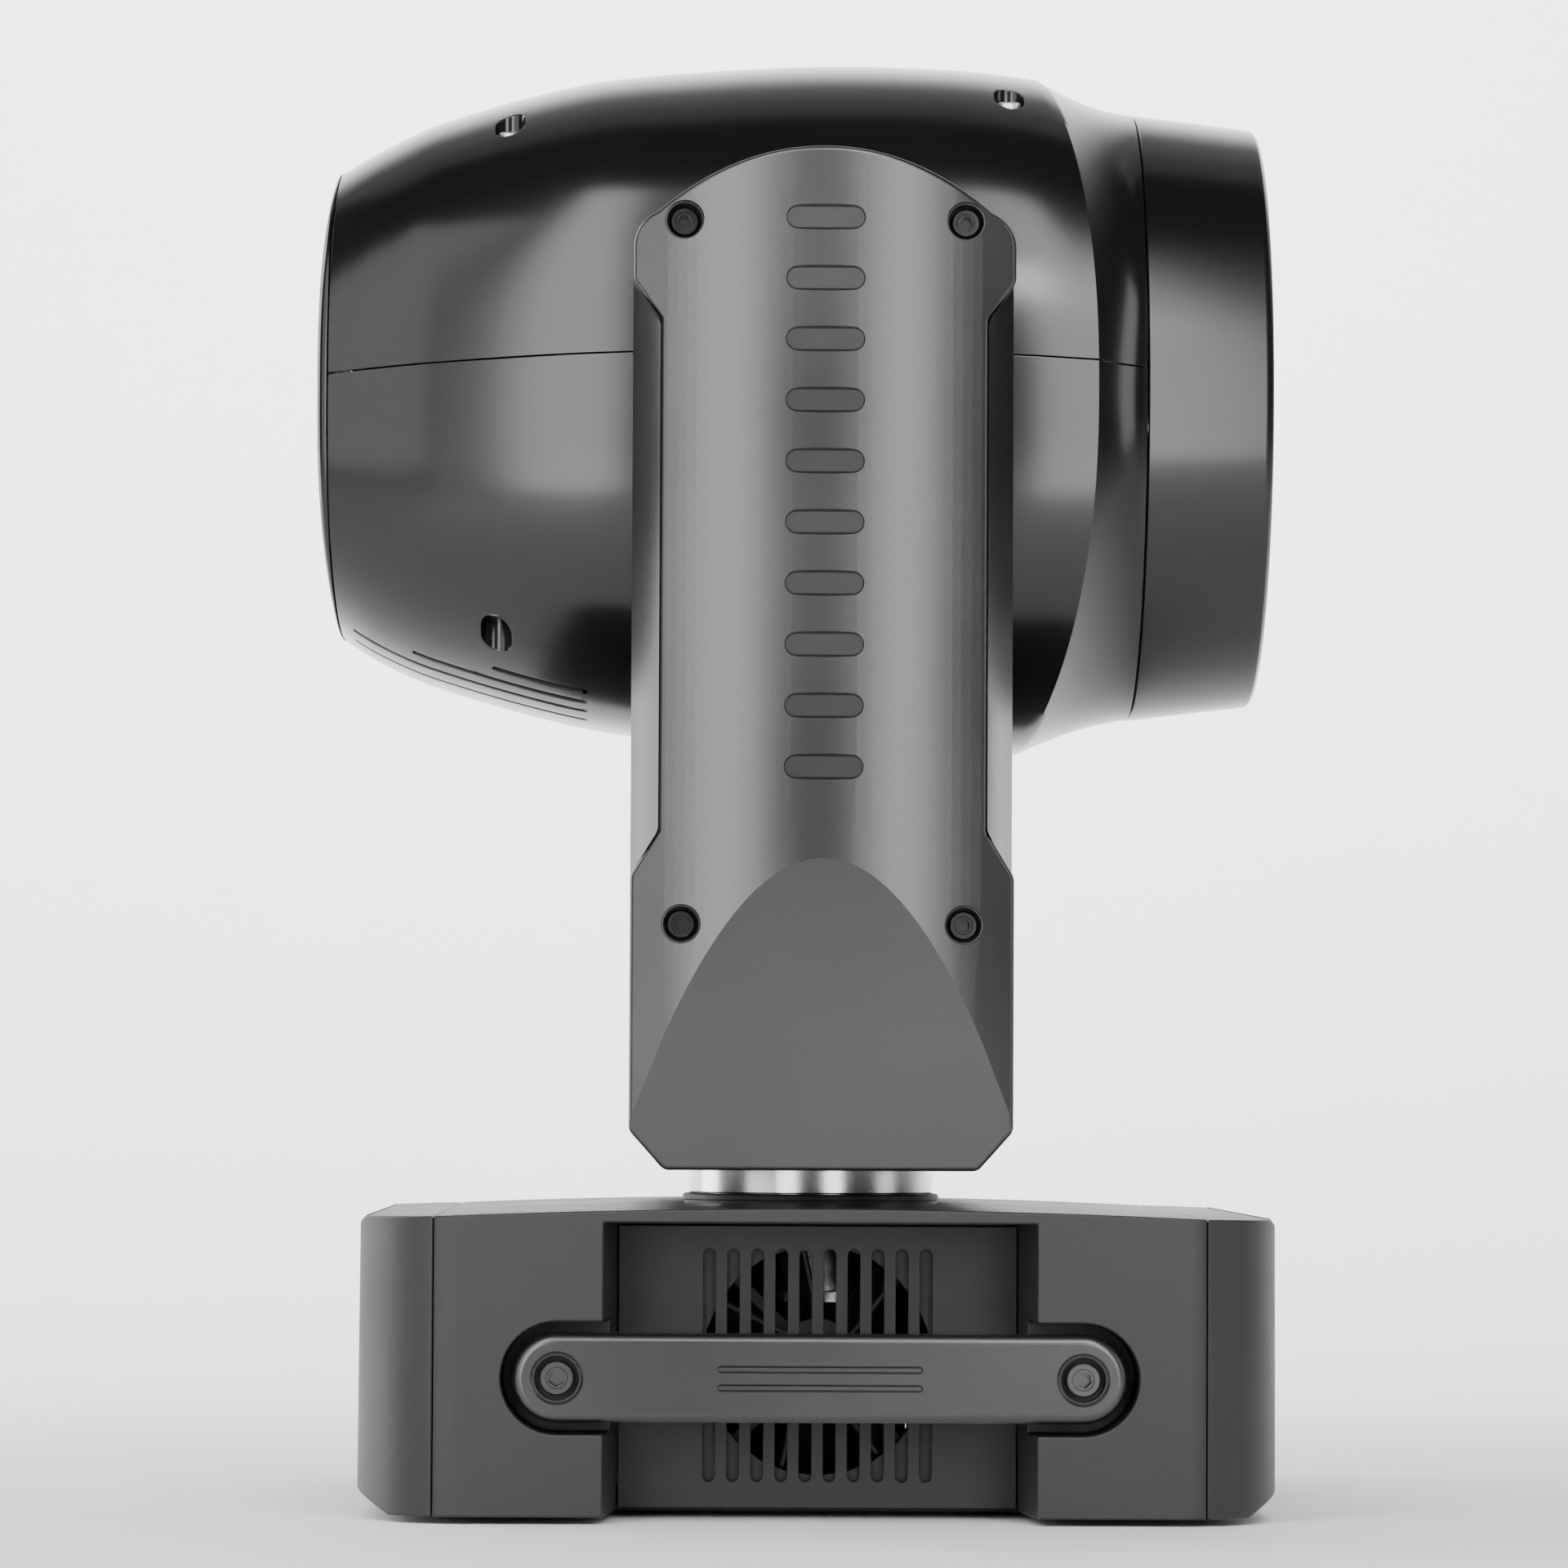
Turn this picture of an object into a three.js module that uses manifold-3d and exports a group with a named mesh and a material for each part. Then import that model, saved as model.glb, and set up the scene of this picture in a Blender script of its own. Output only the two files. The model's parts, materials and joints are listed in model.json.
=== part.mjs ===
// Moving head stage light: a base with a turning two-armed yoke, and a tilting lamp head between the arms.
// Millimetres, +Z up. The origin is on the pan axis at floor level and +X is the beam's direction at rest.
import * as THREE from "three";
import { mergeVertices } from "three/addons/utils/BufferGeometryUtils.js";
import { ParametricGeometry } from "three/addons/geometries/ParametricGeometry.js";
import Module from "manifold-3d";

const wasm = await Module();
wasm.setup();

// ---- Driving dimensions -------------------------------------------------------------------------

const GAP = 0.3; // between pieces that touch
const WALL = 3; // moulded covers

const BASE_X = 132; // half length of the base
const BASE_Y = 147; // half width of the base
const BASE_Z0 = 2; // underside of the base covers
const BASE_TOP = 89.1; // crown of the base
const SEAM_TOP = 86.6; // top of the base where the end caps start
const SEAM_X = 109.2; // seam between the middle cover and an end cap
const POCKET_X = 61.4; // half width of the handle pocket at the face
const POCKET_DRAFT = 3.8; // how much each pocket wall leans in
const POCKET_Y = 110; // the pocket's back
const POCKET_TOP = 85;
const HANDLE_Z = 41.2; // height of the carrying handles
const HANDLE_R = 12.5; // half height of a handle
const HANDLE_SCREW_X = 74.3;
const HANDLE_BACK = 133; // back of the grip
const RECESS_R = 15.9; // rounded recess round a handle's end
const RECESS_Y = 127; // floor of that recess
const VENT_SLOTS = 10;
const VENT_PITCH = 6.92;

const HUB_R = 36.9; // turned neck between base and yoke
const PAN_PULLEY_R = 42;
const SMALL_PULLEY_R = 8.4; // 5 to 1 on the pan axis
const PAN_MOTOR_X = 70;
const PAN_BELT_Z = 56;

const YOKE_Z0 = 99.8; // underside of the yoke
const ARM_X = 54.5; // half width of an arm
const ARM_TOP = 389.7; // crown of an arm
const ARM_IN = 110; // inner face of an arm
const ARM_OUT = 155; // crown of an arm's outer face
const ARM_SAG = 12; // how far that face falls away at its edges
const WAIST_X = 46.6; // the long edge pockets start here
const WAIST_Z = [195.8, 341.1];
const SLOPE_Z = 187.9; // the lower face starts to lean in here
const SLOPE = 0.161;
const ARM_SCREW_X = 40;
const ARM_SCREW_Z = [169.3, 369.1];
const CROSSBAR_TOP = 152;
const FRAME_Y = 116; // inner face of the steel uprights

const TILT_Z = 327.6; // tilt axis and beam axis
const TILT_PULLEY_R = 30;
const TILT_SMALL_R = 7.5; // 4 to 1 on the tilt axis
const TILT_MOTOR_Z = 128;
const TILT_BELT_Y = 126;

const PARTING_Z = 337; // seam between the two head shells
const REAR_X = -144.3; // seam between the head shells and the rear grille, at mid height
const RING_X = 95.8; // seam between the head shells and the front ring
const RING_R = 91.9;
const NOSE_X = 133; // front of the ring
const NOSE_R = 87.5;
const WHEEL_DROP = 34; // from the beam axis to the wheels' own axes

// ---- Geometry helpers ---------------------------------------------------------------------------

// A closed three.js geometry as a solid for joining and cutting.
function solid(geometry) {
  const bare = geometry.clone();
  bare.deleteAttribute("normal");
  bare.deleteAttribute("uv");
  const merged = mergeVertices(bare, 1e-3);
  const vertProperties = new Float32Array(merged.attributes.position.array);
  const triVerts = new Uint32Array(merged.index.array);
  const body = new wasm.Manifold(new wasm.Mesh({ numProp: 3, vertProperties, triVerts }));
  if (body.volume() > 0) return body;
  // An inside-out surface has its triangles turned round.
  return new wasm.Manifold(new wasm.Mesh({ numProp: 3, vertProperties, triVerts: triVerts.reverse() }));
}

function geometryOf(body) {
  const mesh = body.getMesh();
  const geometry = new THREE.BufferGeometry();
  geometry.setAttribute("position", new THREE.BufferAttribute(mesh.vertProperties, 3));
  geometry.setIndex(new THREE.BufferAttribute(mesh.triVerts, 1));
  return geometry;
}

function box(low, high) {
  const size = high.map((value, i) => value - low[i]);
  const middle = high.map((value, i) => (value + low[i]) / 2);
  return solid(new THREE.BoxGeometry(...size).translate(...middle));
}

const TURN = {
  z: new THREE.Matrix4(),
  // A profile's (u, v) become (x, z), and its depth runs back along -Y.
  y: new THREE.Matrix4().makeRotationX(Math.PI / 2),
  // A profile's (u, v) become (y, z), and its depth runs along +X.
  x: new THREE.Matrix4().set(0, 0, 1, 0, 1, 0, 0, 0, 0, 1, 0, 0, 0, 0, 0, 1),
};

// An outline pushed along an axis, from one coordinate to another. Each arc gets twice the segments.
function prism(outline, axis, from, to, segments = 3) {
  const geometry = new THREE.ExtrudeGeometry(outline, {
    depth: to - from,
    bevelEnabled: false,
    curveSegments: segments,
  });
  geometry.applyMatrix4(TURN[axis]);
  const start = axis === "y" ? to : from;
  geometry.translate(axis === "x" ? start : 0, axis === "y" ? start : 0, axis === "z" ? start : 0);
  return solid(geometry);
}

function polygon(points) {
  return new THREE.Shape(points.map(([u, v]) => new THREE.Vector2(u, v)));
}

// A rounded rectangle between two corners.
function rounded(u0, v0, u1, v1, r) {
  const shape = new THREE.Shape();
  shape.absarc(u1 - r, v0 + r, r, -Math.PI / 2, 0, false);
  shape.absarc(u1 - r, v1 - r, r, 0, Math.PI / 2, false);
  shape.absarc(u0 + r, v1 - r, r, Math.PI / 2, Math.PI, false);
  shape.absarc(u0 + r, v0 + r, r, Math.PI, 1.5 * Math.PI, false);
  shape.closePath();
  return shape;
}

// A round rod along an axis: centre holds the two coordinates across it, in x, y, z order.
function rod(axis, [a, b], r, from, to, sides = 16) {
  const shape = new THREE.Shape();
  shape.absarc(a, b, r, 0, 2 * Math.PI, false);
  return prism(shape, axis, from, to, sides / 2);
}

// A profile of (radius, height) points turned about the Z axis; it starts and ends on the axis or closes.
function turned(points, sides = 20) {
  const profile = points.map(([r, z]) => new THREE.Vector2(r, z));
  return solid(new THREE.LatheGeometry(profile, sides).rotateX(Math.PI / 2));
}

// The same, turned about the beam axis, with heights measured along +X.
function turnedX(points, sides = 32) {
  const profile = points.map(([r, x]) => new THREE.Vector2(r, x));
  const geometry = new THREE.LatheGeometry(profile, sides).rotateX(Math.PI / 2);
  geometry.rotateY(Math.PI / 2).translate(0, 0, TILT_Z);
  return solid(geometry);
}

function join(first, ...others) {
  return others.reduce((all, one) => all.add(one), first);
}

function cut(first, ...others) {
  return others.reduce((all, one) => all.subtract(one), first);
}

function both(build) {
  return join(build(-1), build(1));
}

// ---- Materials ----------------------------------------------------------------------------------

const paint = (color, roughness, metalness = 0) =>
  new THREE.MeshStandardMaterial({ color, roughness, metalness });
const HEAD_PLASTIC = paint(0x1c1d1f, 0.42);
const COVER = paint(0x4b4c4f, 0.6, 0.25);
const BASE_PLASTIC = paint(0x47484b, 0.68);
const DARK_STEEL = paint(0x1f2022, 0.55, 0.7);
const BLACK_OXIDE = paint(0x111214, 0.4, 0.8);
const ALUMINIUM = paint(0xc9cbce, 0.3, 1);
const STEEL = paint(0x9a9ca0, 0.4, 0.9);
const RUBBER = paint(0x161617, 0.9);
const GLASS = paint(0xdfe8ee, 0.05);
const BLACK_PLASTIC = paint(0x141415, 0.5);
const BOARD = paint(0x1d4a2c, 0.6);
const LED_YELLOW = paint(0xd8c24a, 0.5);

const root = new THREE.Group();
root.name = "moving_head_light";

function add(name, body, material, group = root) {
  const mesh = new THREE.Mesh(body.isBufferGeometry ? body : geometryOf(body), material);
  mesh.name = name;
  group.add(mesh);
  return mesh;
}

// Adds a piece built on the near (-Y) side, and its copy turned half round the pan axis.
function addPair(name, body, material) {
  add(`${name}_near`, body, material);
  add(`${name}_far`, body, material).rotation.z = Math.PI;
}

// ---- Base ---------------------------------------------------------------------------------------

// The base's plan, drawn in by an inset: straight sides joined by elliptical corners.
function basePlan(inset) {
  const x = BASE_X - inset;
  const y = BASE_Y - inset;
  const [a, b] = [30 - inset, 45 - inset];
  const shape = new THREE.Shape();
  shape.absellipse(x - a, b - y, a, b, -Math.PI / 2, 0, false, 0);
  shape.absellipse(x - a, y - b, a, b, 0, Math.PI / 2, false, 0);
  shape.absellipse(a - x, y - b, a, b, Math.PI / 2, Math.PI, false, 0);
  shape.absellipse(a - x, b - y, a, b, Math.PI, 1.5 * Math.PI, false, 0);
  shape.closePath();
  return shape;
}

// The base's side profile: a gently arched top, and a long bevel under each end.
function baseProfile() {
  const shape = new THREE.Shape();
  shape.moveTo(-BASE_X + 10, BASE_Z0);
  shape.lineTo(BASE_X - 10, BASE_Z0);
  shape.lineTo(BASE_X, BASE_Z0 + 6);
  shape.lineTo(BASE_X - 0.8, SEAM_TOP - 1.8);
  shape.lineTo(BASE_X - 2.6, SEAM_TOP - 0.3);
  shape.lineTo(SEAM_X, SEAM_TOP);
  shape.quadraticCurveTo(0, 2 * BASE_TOP - SEAM_TOP, -SEAM_X, SEAM_TOP);
  shape.lineTo(-BASE_X + 2.6, SEAM_TOP - 0.3);
  shape.lineTo(-BASE_X + 0.8, SEAM_TOP - 1.8);
  shape.lineTo(-BASE_X, BASE_Z0 + 6);
  shape.closePath();
  return shape;
}

function baseForm() {
  const plan = prism(basePlan(0), "z", BASE_Z0 - 1, BASE_TOP + 1, 4);
  return plan.intersect(prism(baseProfile(), "y", -BASE_Y - 1, BASE_Y + 1, 8));
}

// The handle's pocket on the near side, grown by a wall thickness.
function handlePocket(grow) {
  const x = POCKET_X + grow;
  const back = -POCKET_Y + (grow ? WALL : 0);
  const plan = polygon([
    [-x, -BASE_Y - 1],
    [x, -BASE_Y - 1],
    [x - POCKET_DRAFT, back],
    [POCKET_DRAFT - x, back],
  ]);
  const recessX = HANDLE_SCREW_X + RECESS_R + grow;
  const recess = rounded(
    -recessX,
    HANDLE_Z - RECESS_R - grow,
    recessX,
    HANDLE_Z + RECESS_R + grow,
    RECESS_R + grow - 0.01,
  );
  return join(
    prism(plan, "z", BASE_Z0 - 1, POCKET_TOP + grow * 0.8),
    prism(recess, "y", -BASE_Y - 1, -RECESS_Y + grow),
  );
}

// The mouth at the back of a pocket that its vent panel closes.
function ventMouth() {
  const x = POCKET_X - POCKET_DRAFT;
  return box([-x, -POCKET_Y - 1, 0], [x, -POCKET_Y + WALL + 1, POCKET_TOP - 1 + GAP]);
}

function mirrored(body) {
  return solid(geometryOf(body).rotateZ(Math.PI));
}

// Half of the middle cover. It meets its twin on the base's centre line, round the neck.
function baseShell() {
  const half = box([GAP / 2 - SEAM_X, -200, 0], [SEAM_X - GAP / 2, -GAP / 2, 100]);
  const hollow = box([-SEAM_X - 1, WALL - BASE_Y, 0], [SEAM_X + 1, 1, SEAM_TOP - WALL]);
  const holes = [-1, 1].map((side) =>
    rod("y", [side * HANDLE_SCREW_X, HANDLE_Z], 3.4, -RECESS_Y - 1, 1 - RECESS_Y + WALL, 12),
  );
  return cut(
    baseForm().intersect(half),
    cut(hollow, handlePocket(WALL)),
    handlePocket(0),
    ventMouth(),
    rod("z", [0, 0], HUB_R + 2.6, 70, 100, 36),
    ...holes,
  );
}

// A hollow end cap. The side is +1 for the control end and -1 for the connector end.
function baseEnd(side) {
  const inner = prism(basePlan(WALL), "z", -1, SEAM_TOP - 2 * WALL, 4);
  const hollow = inner.intersect(box([-BASE_X + 7, -200, -1], [BASE_X - 7, 200, 100]));
  const half = box([SEAM_X + GAP / 2, -200, 0], [BASE_X + 1, 200, 100]);
  const end = side > 0 ? half : mirrored(half);
  return cut(baseForm().intersect(end), hollow);
}

const PANEL_X = BASE_X - 3.2; // floor of the recessed panel at each end
const PANEL_Y = 84;
const PANEL_Z = [17, 73];
const BUTTONS = [
  [28, 55],
  [52, 55],
  [28, 34],
  [52, 34],
];
const SOCKETS = { power_inlet: -62, power_outlet: -22, data_in: 22, data_out: 62 };
const SOCKET_Z = 45;

function panelRecess(side) {
  const outline = rounded(-PANEL_Y, PANEL_Z[0], PANEL_Y, PANEL_Z[1], 5);
  return side > 0
    ? prism(outline, "x", PANEL_X, BASE_X + 2)
    : prism(outline, "x", -BASE_X - 2, -PANEL_X);
}

function controlEnd() {
  const window = prism(rounded(-69, 24, 1, 66, 2), "x", PANEL_X - 8, BASE_X);
  const holes = BUTTONS.map(([y, z]) => rod("x", [y, z], 5.4, PANEL_X - 8, BASE_X, 12));
  return cut(baseEnd(1), panelRecess(1), window, ...holes);
}

function connectorEnd() {
  const holes = Object.values(SOCKETS).map((y) => rod("x", [y, SOCKET_Z], 12, -BASE_X, 8 - PANEL_X));
  return cut(baseEnd(-1), panelRecess(-1), ...holes);
}

// A chassis socket: a flange on the panel, and a barrel with an open mouth.
function socket() {
  const flange = prism(rounded(-13, -15.5, 13, 15.5, 2), "x", -2.2, -GAP);
  const barrel = rod("x", [0, 0], 11.5, -2.2, 20);
  return cut(join(flange, barrel), rod("x", [0, 0], 9, -3, 12));
}

function ventPanel() {
  const x = POCKET_X - POCKET_DRAFT - GAP;
  const panel = box([-x, -POCKET_Y, BASE_Z0 + 1], [x, WALL - POCKET_Y, POCKET_TOP - 1]);
  const slots = [];
  for (let i = 0; i < VENT_SLOTS; i++) {
    const u = (i - (VENT_SLOTS - 1) / 2) * VENT_PITCH;
    slots.push(prism(rounded(u - 1.75, 10.4, u + 1.75, 77, 1.74), "y", -120, -100, 1));
  }
  return cut(panel, ...slots);
}

const FEET = [
  [-100, -96],
  [100, -96],
  [-100, 96],
  [100, 96],
];

function basePlate() {
  const plate = prism(basePlan(12), "z", BASE_Z0, BASE_Z0 + 3, 3);
  const housing = turned(
    [
      [20.6, BASE_Z0 + 1],
      [29, BASE_Z0 + 1],
      [29, 46],
      [20.6, 46],
      [20.6, BASE_Z0 + 1],
    ],
    16,
  );
  const land = box([-35, -35, 0.4], [35, 35, BASE_Z0 + 1]);
  const bracketLands = both((side) => box([-62, side * 75 - 13, 0.4], [62, side * 75 + 13, BASE_Z0 + 1]));
  const pocketRoom = both((side) => box([-66, side * 126 - 21, 0], [66, side * 126 + 21, 10]));
  const locks = [];
  for (const x of [-53, 53]) {
    for (const y of [-75, 75]) {
      locks.push(rod("z", [x, y], 6, 0, 10, 12));
    }
  }
  const feet = FEET.map(([x, y]) => rod("z", [x, y], 4.3, 0, 10, 12));
  return cut(cut(join(plate, housing, land, bracketLands), pocketRoom), ...locks, ...feet);
}

function foot() {
  return turned(
    [
      [0, 0],
      [9, 0],
      [10, 0.8],
      [10, 1.7],
      [4, 1.7],
      [4, 5.4],
      [0, 5.4],
    ],
    12,
  );
}

// A carrying handle: a flat bar with round ends, standing on two bosses.
function handle() {
  const reach = HANDLE_SCREW_X + HANDLE_R;
  const bar = rounded(-reach, HANDLE_Z - HANDLE_R, reach, HANDLE_Z + HANDLE_R, HANDLE_R - 0.01);
  const ends = both((side) =>
    rod("y", [side * HANDLE_SCREW_X, HANDLE_Z], HANDLE_R - 0.5, -HANDLE_BACK - 1, -RECESS_Y - GAP),
  );
  const bores = [-1, 1].flatMap((side) => [
    rod("y", [side * HANDLE_SCREW_X, HANDLE_Z], 6.95, -BASE_Y - 1, -BASE_Y + 6.4),
    rod("y", [side * HANDLE_SCREW_X, HANDLE_Z], 3.4, -BASE_Y - 1, -RECESS_Y + 1, 12),
  ]);
  return cut(join(prism(bar, "y", -BASE_Y, -HANDLE_BACK, 5), ends), ...bores);
}

// A hexagon socket screw with its head's top at the origin, pointing along +Z.
function socketScrew(headR, headH, shankR, length) {
  const body = turned(
    [
      [0, -headH - length],
      [shankR, -headH - length],
      [shankR, -headH],
      [headR, -headH],
      [headR, 0],
      [0, 0],
    ],
    12,
  );
  return cut(body, rod("z", [0, 0], headR * 0.55, -headH * 0.55, 1, 6));
}

function fanFrame() {
  const frame = prism(rounded(-35, 10, 35, 80, 4), "y", -106.5, -91.5, 2);
  const hub = rod("y", [0, 45], 12, -94, -91.5, 20);
  const strut = (angle) => {
    const bar = new THREE.BoxGeometry(70, 2.5, 3).rotateY(angle).translate(0, -92.8, 45);
    return solid(bar);
  };
  const bore = rod("y", [0, 45], 33, -108, -90, 24);
  const reach = rod("y", [0, 45], 34, -110, -80, 24);
  const struts = join(strut(Math.PI / 4), strut(-Math.PI / 4)).intersect(reach);
  return join(cut(frame, bore), hub, struts);
}

// A fan wheel with its axis on +Z: a round hub and pitched blades.
function fanWheel(radius, hubR, depth, blades) {
  const parts = [];
  for (let i = 0; i < blades; i++) {
    const blade = new THREE.BoxGeometry(radius - hubR + 2, 1.4, depth * 1.25);
    blade.rotateX(0.65).translate((radius + hubR) / 2 - 1, 0, 0).rotateZ((2 * Math.PI * i) / blades);
    parts.push(solid(blade));
  }
  const sweep = turned([
    [0, -depth / 2],
    [radius, -depth / 2],
    [radius, depth / 2],
    [0, depth / 2],
  ]);
  const hub = turned(
    [
      [0, -depth / 2],
      [hubR, -depth / 2],
      [hubR, depth / 2],
      [0, depth / 2],
    ],
    24,
  );
  return join(hub, ...parts.map((part) => part.intersect(sweep)));
}

// A square motor with its shaft along +Z; the mounting face is at the origin.
function motor(side, length, shaft) {
  const half = side / 2;
  const can = prism(rounded(-half, -half, half, half, 4), "z", -length, 0, 1);
  return join(can, rod("z", [0, 0], 11, -1, 1.6), rod("z", [0, 0], 2.5, -1, shaft, 12));
}

function pulley(radius, bore, width) {
  const flange = radius + 1.6;
  return turned(
    [
      [bore, -width / 2 - 1],
      [flange, -width / 2 - 1],
      [flange, -width / 2],
      [radius, -width / 2],
      [radius, width / 2],
      [flange, width / 2],
      [flange, width / 2 + 1],
      [bore, width / 2 + 1],
      [bore, -width / 2 - 1],
    ],
    radius > 20 ? 30 : 16,
  );
}

// A toothed belt as a closed loop in the XY plane, from a pulley at the origin to one on +X.
function belt(bigR, smallR, distance, width) {
  const loop = (grow) => {
    const lean = Math.acos((bigR - smallR) / distance);
    const shape = new THREE.Shape();
    shape.absarc(0, 0, bigR + grow, lean, 2 * Math.PI - lean, false);
    shape.absarc(distance, 0, smallR + grow, -lean, lean, false);
    shape.closePath();
    return prism(shape, "z", -width / 2, width / 2, 9);
  };
  return cut(loop(1.5), solid(geometryOf(loop(0.45)).scale(1, 1, 1.5)));
}

function buildBase() {
  add("base_plate", basePlate(), DARK_STEEL);
  addPair("base_shell", baseShell(), BASE_PLASTIC);
  add("base_end_front", controlEnd(), BASE_PLASTIC);
  add("base_end_rear", connectorEnd(), BASE_PLASTIC);
  addPair("vent_panel", ventPanel(), BASE_PLASTIC);
  addPair("handle", handle(), COVER);

  const screw = socketScrew(5, 6, 3, 24);
  const screwHead = BASE_Y - 0.1;
  const screwPlaces = [
    [-HANDLE_SCREW_X, -1],
    [HANDLE_SCREW_X, -1],
    [HANDLE_SCREW_X, 1],
    [-HANDLE_SCREW_X, 1],
  ];
  screwPlaces.forEach(([x, side], i) => {
    const mesh = add(`handle_screw_${i + 1}`, screw, BLACK_OXIDE);
    mesh.position.set(x, side * screwHead, HANDLE_Z);
    mesh.rotation.x = (-side * Math.PI) / 2;
  });

  FEET.forEach(([x, y], i) => {
    add(`foot_${i + 1}`, foot(), RUBBER).position.set(x, y, 0);
  });

  add("base_fan_frame", fanFrame(), BLACK_PLASTIC);
  const rotor = add("base_fan_rotor", fanWheel(32, 12, 9, 7), BLACK_PLASTIC);
  rotor.position.set(0, -100.5, 45);
  rotor.rotation.x = Math.PI / 2;

  const screen = prism(rounded(-68.7, 24.3, 0.7, 65.7, 1.8), "x", PANEL_X - 4, PANEL_X + 0.6, 3);
  add("display_window", screen, GLASS);
  const button = join(rod("x", [0, 0], 5, -3, 2.4, 12), rod("x", [0, 0], 6.6, -6, -4.2, 12));
  const stem = rod("x", [0, 0], 4.4, -5, -2, 12);
  BUTTONS.forEach(([y, z], i) => {
    add(`menu_button_${i + 1}`, join(button, stem), RUBBER).position.set(PANEL_X, y, z);
  });
  for (const [name, y] of Object.entries(SOCKETS)) {
    add(name, socket(), BLACK_PLASTIC).position.set(-PANEL_X, y, SOCKET_Z);
  }

  add("power_supply", box([-102, -86, 8], [-46, 86, 47]), STEEL);
  add("control_board", box([99, -62, 12], [100.8, 62, 78]), BOARD);
  const panMotor = add("pan_motor", motor(42, 38, 19), DARK_STEEL);
  panMotor.position.set(PAN_MOTOR_X, 0, 46);
  const smallPulley = add("pan_motor_pulley", pulley(SMALL_PULLEY_R, 2.8, 10), ALUMINIUM);
  smallPulley.position.set(PAN_MOTOR_X, 0, PAN_BELT_Z);
  const panBelt = belt(PAN_PULLEY_R, SMALL_PULLEY_R, PAN_MOTOR_X, 8);
  add("pan_belt", panBelt, RUBBER).position.set(0, 0, PAN_BELT_Z);
}

// ---- Yoke ---------------------------------------------------------------------------------------

// The hollow pan shaft, its driven pulley and the turned neck, in one piece.
function panHub() {
  const [low, high] = [PAN_BELT_Z - 6, PAN_BELT_Z + 6];
  return turned([
    [13, 14],
    [20, 14],
    [20, low - 1],
    [PAN_PULLEY_R + 1.8, low - 1],
    [PAN_PULLEY_R + 1.8, low + 1],
    [PAN_PULLEY_R, low + 1],
    [PAN_PULLEY_R, high - 1],
    [PAN_PULLEY_R + 1.8, high - 1],
    [PAN_PULLEY_R + 1.8, high + 1],
    [HUB_R - 2, high + 1],
    [HUB_R - 2, BASE_TOP + 0.6],
    [HUB_R + 1.8, BASE_TOP + 0.6],
    [HUB_R + 1.8, BASE_TOP + 2.8],
    [HUB_R, BASE_TOP + 2.8],
    [HUB_R, YOKE_Z0 - GAP],
    [28, YOKE_Z0 - GAP],
    [28, YOKE_Z0 + 3.9],
    [13, YOKE_Z0 + 3.9],
    [13, 14],
  ]);
}

// An arm's outline seen along Y, drawn in by an inset: chamfered foot, straight sides, domed top.
function armOutline(inset) {
  const x = ARM_X - inset;
  const z = YOKE_Z0 + inset;
  const shape = new THREE.Shape();
  shape.moveTo(-x + 10, z);
  shape.lineTo(x - 10, z);
  shape.lineTo(x, z + 11.3);
  shape.lineTo(x, 362 - inset);
  shape.quadraticCurveTo(x, 369 - inset, x - 7, 372 - inset);
  shape.quadraticCurveTo(x - 29, ARM_TOP - inset, 0, ARM_TOP - inset);
  shape.quadraticCurveTo(29 - x, ARM_TOP - inset, 7 - x, 372 - inset);
  shape.quadraticCurveTo(-x, 369 - inset, -x, 362 - inset);
  shape.lineTo(-x, z + 11.3);
  shape.closePath();
  return shape;
}

// An arm's section seen from above: flat towards the head, crowned outwards.
function armSection(inset) {
  const crown = ARM_OUT - inset;
  const edge = crown - ARM_SAG;
  const shape = new THREE.Shape();
  shape.moveTo(ARM_X, -100);
  shape.lineTo(-ARM_X, -100);
  shape.lineTo(-ARM_X, -edge);
  shape.quadraticCurveTo(0, edge - 2 * crown, ARM_X, -edge);
  shape.closePath();
  return shape;
}

// One of the two pockets in an arm's long edges; its floor leans towards the arm's side.
function edgePocket(side, inset) {
  const x = WAIST_X - inset;
  const far = ARM_X + 6;
  const rise = (far - x) * 1.6;
  const outline = polygon([
    [side * x, WAIST_Z[0] - inset],
    [side * far, WAIST_Z[0] - inset - rise],
    [side * far, WAIST_Z[1] + inset + rise * 0.9],
    [side * x, WAIST_Z[1] + inset],
  ]);
  const lean = polygon([
    [side * x, -146],
    [side * far, -117],
    [side * far, -170],
    [side * x, -170],
  ]);
  return prism(outline, "y", -170, -100).intersect(prism(lean, "z", 120, 400));
}

function armForm(inset) {
  const low = 60;
  const face = -ARM_OUT + inset;
  const slab = polygon([
    [face, 420],
    [face, SLOPE_Z],
    [face + SLOPE * (SLOPE_Z - low), low],
    [-100, low],
    [-100, 420],
  ]);
  const form = prism(armOutline(inset), "y", -170, -100, 4)
    .intersect(prism(armSection(inset), "z", 50, 420, 8))
    .intersect(prism(slab, "x", -80, 80));
  return cut(form, edgePocket(-1, inset), edgePocket(1, inset));
}

// The depth of an arm's crowned face at x, below its crown.
function armFall(x) {
  return ARM_SAG * (x / ARM_X) ** 2;
}

function armCover() {
  const keep = box([-60, -170, 90], [60, -ARM_IN - WALL - GAP, 420]);
  const form = armForm(0).intersect(keep);
  const places = [-1, 1].flatMap((side) => ARM_SCREW_Z.map((z) => [side * ARM_SCREW_X, z]));
  const bosses = places.map((at) => {
    return rod("y", at, 8.5, -170, -FRAME_Y - WALL - GAP, 12).intersect(form);
  });
  const face = -ARM_OUT + armFall(ARM_SCREW_X);
  const recesses = places.flatMap((at) => [
    rod("y", at, 5.5, -170, face + 6, 12),
    rod("y", at, 2.3, -170, -100, 8),
  ]);
  return cut(join(cut(form, armForm(WALL)), ...bosses), ...recesses);
}

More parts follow.
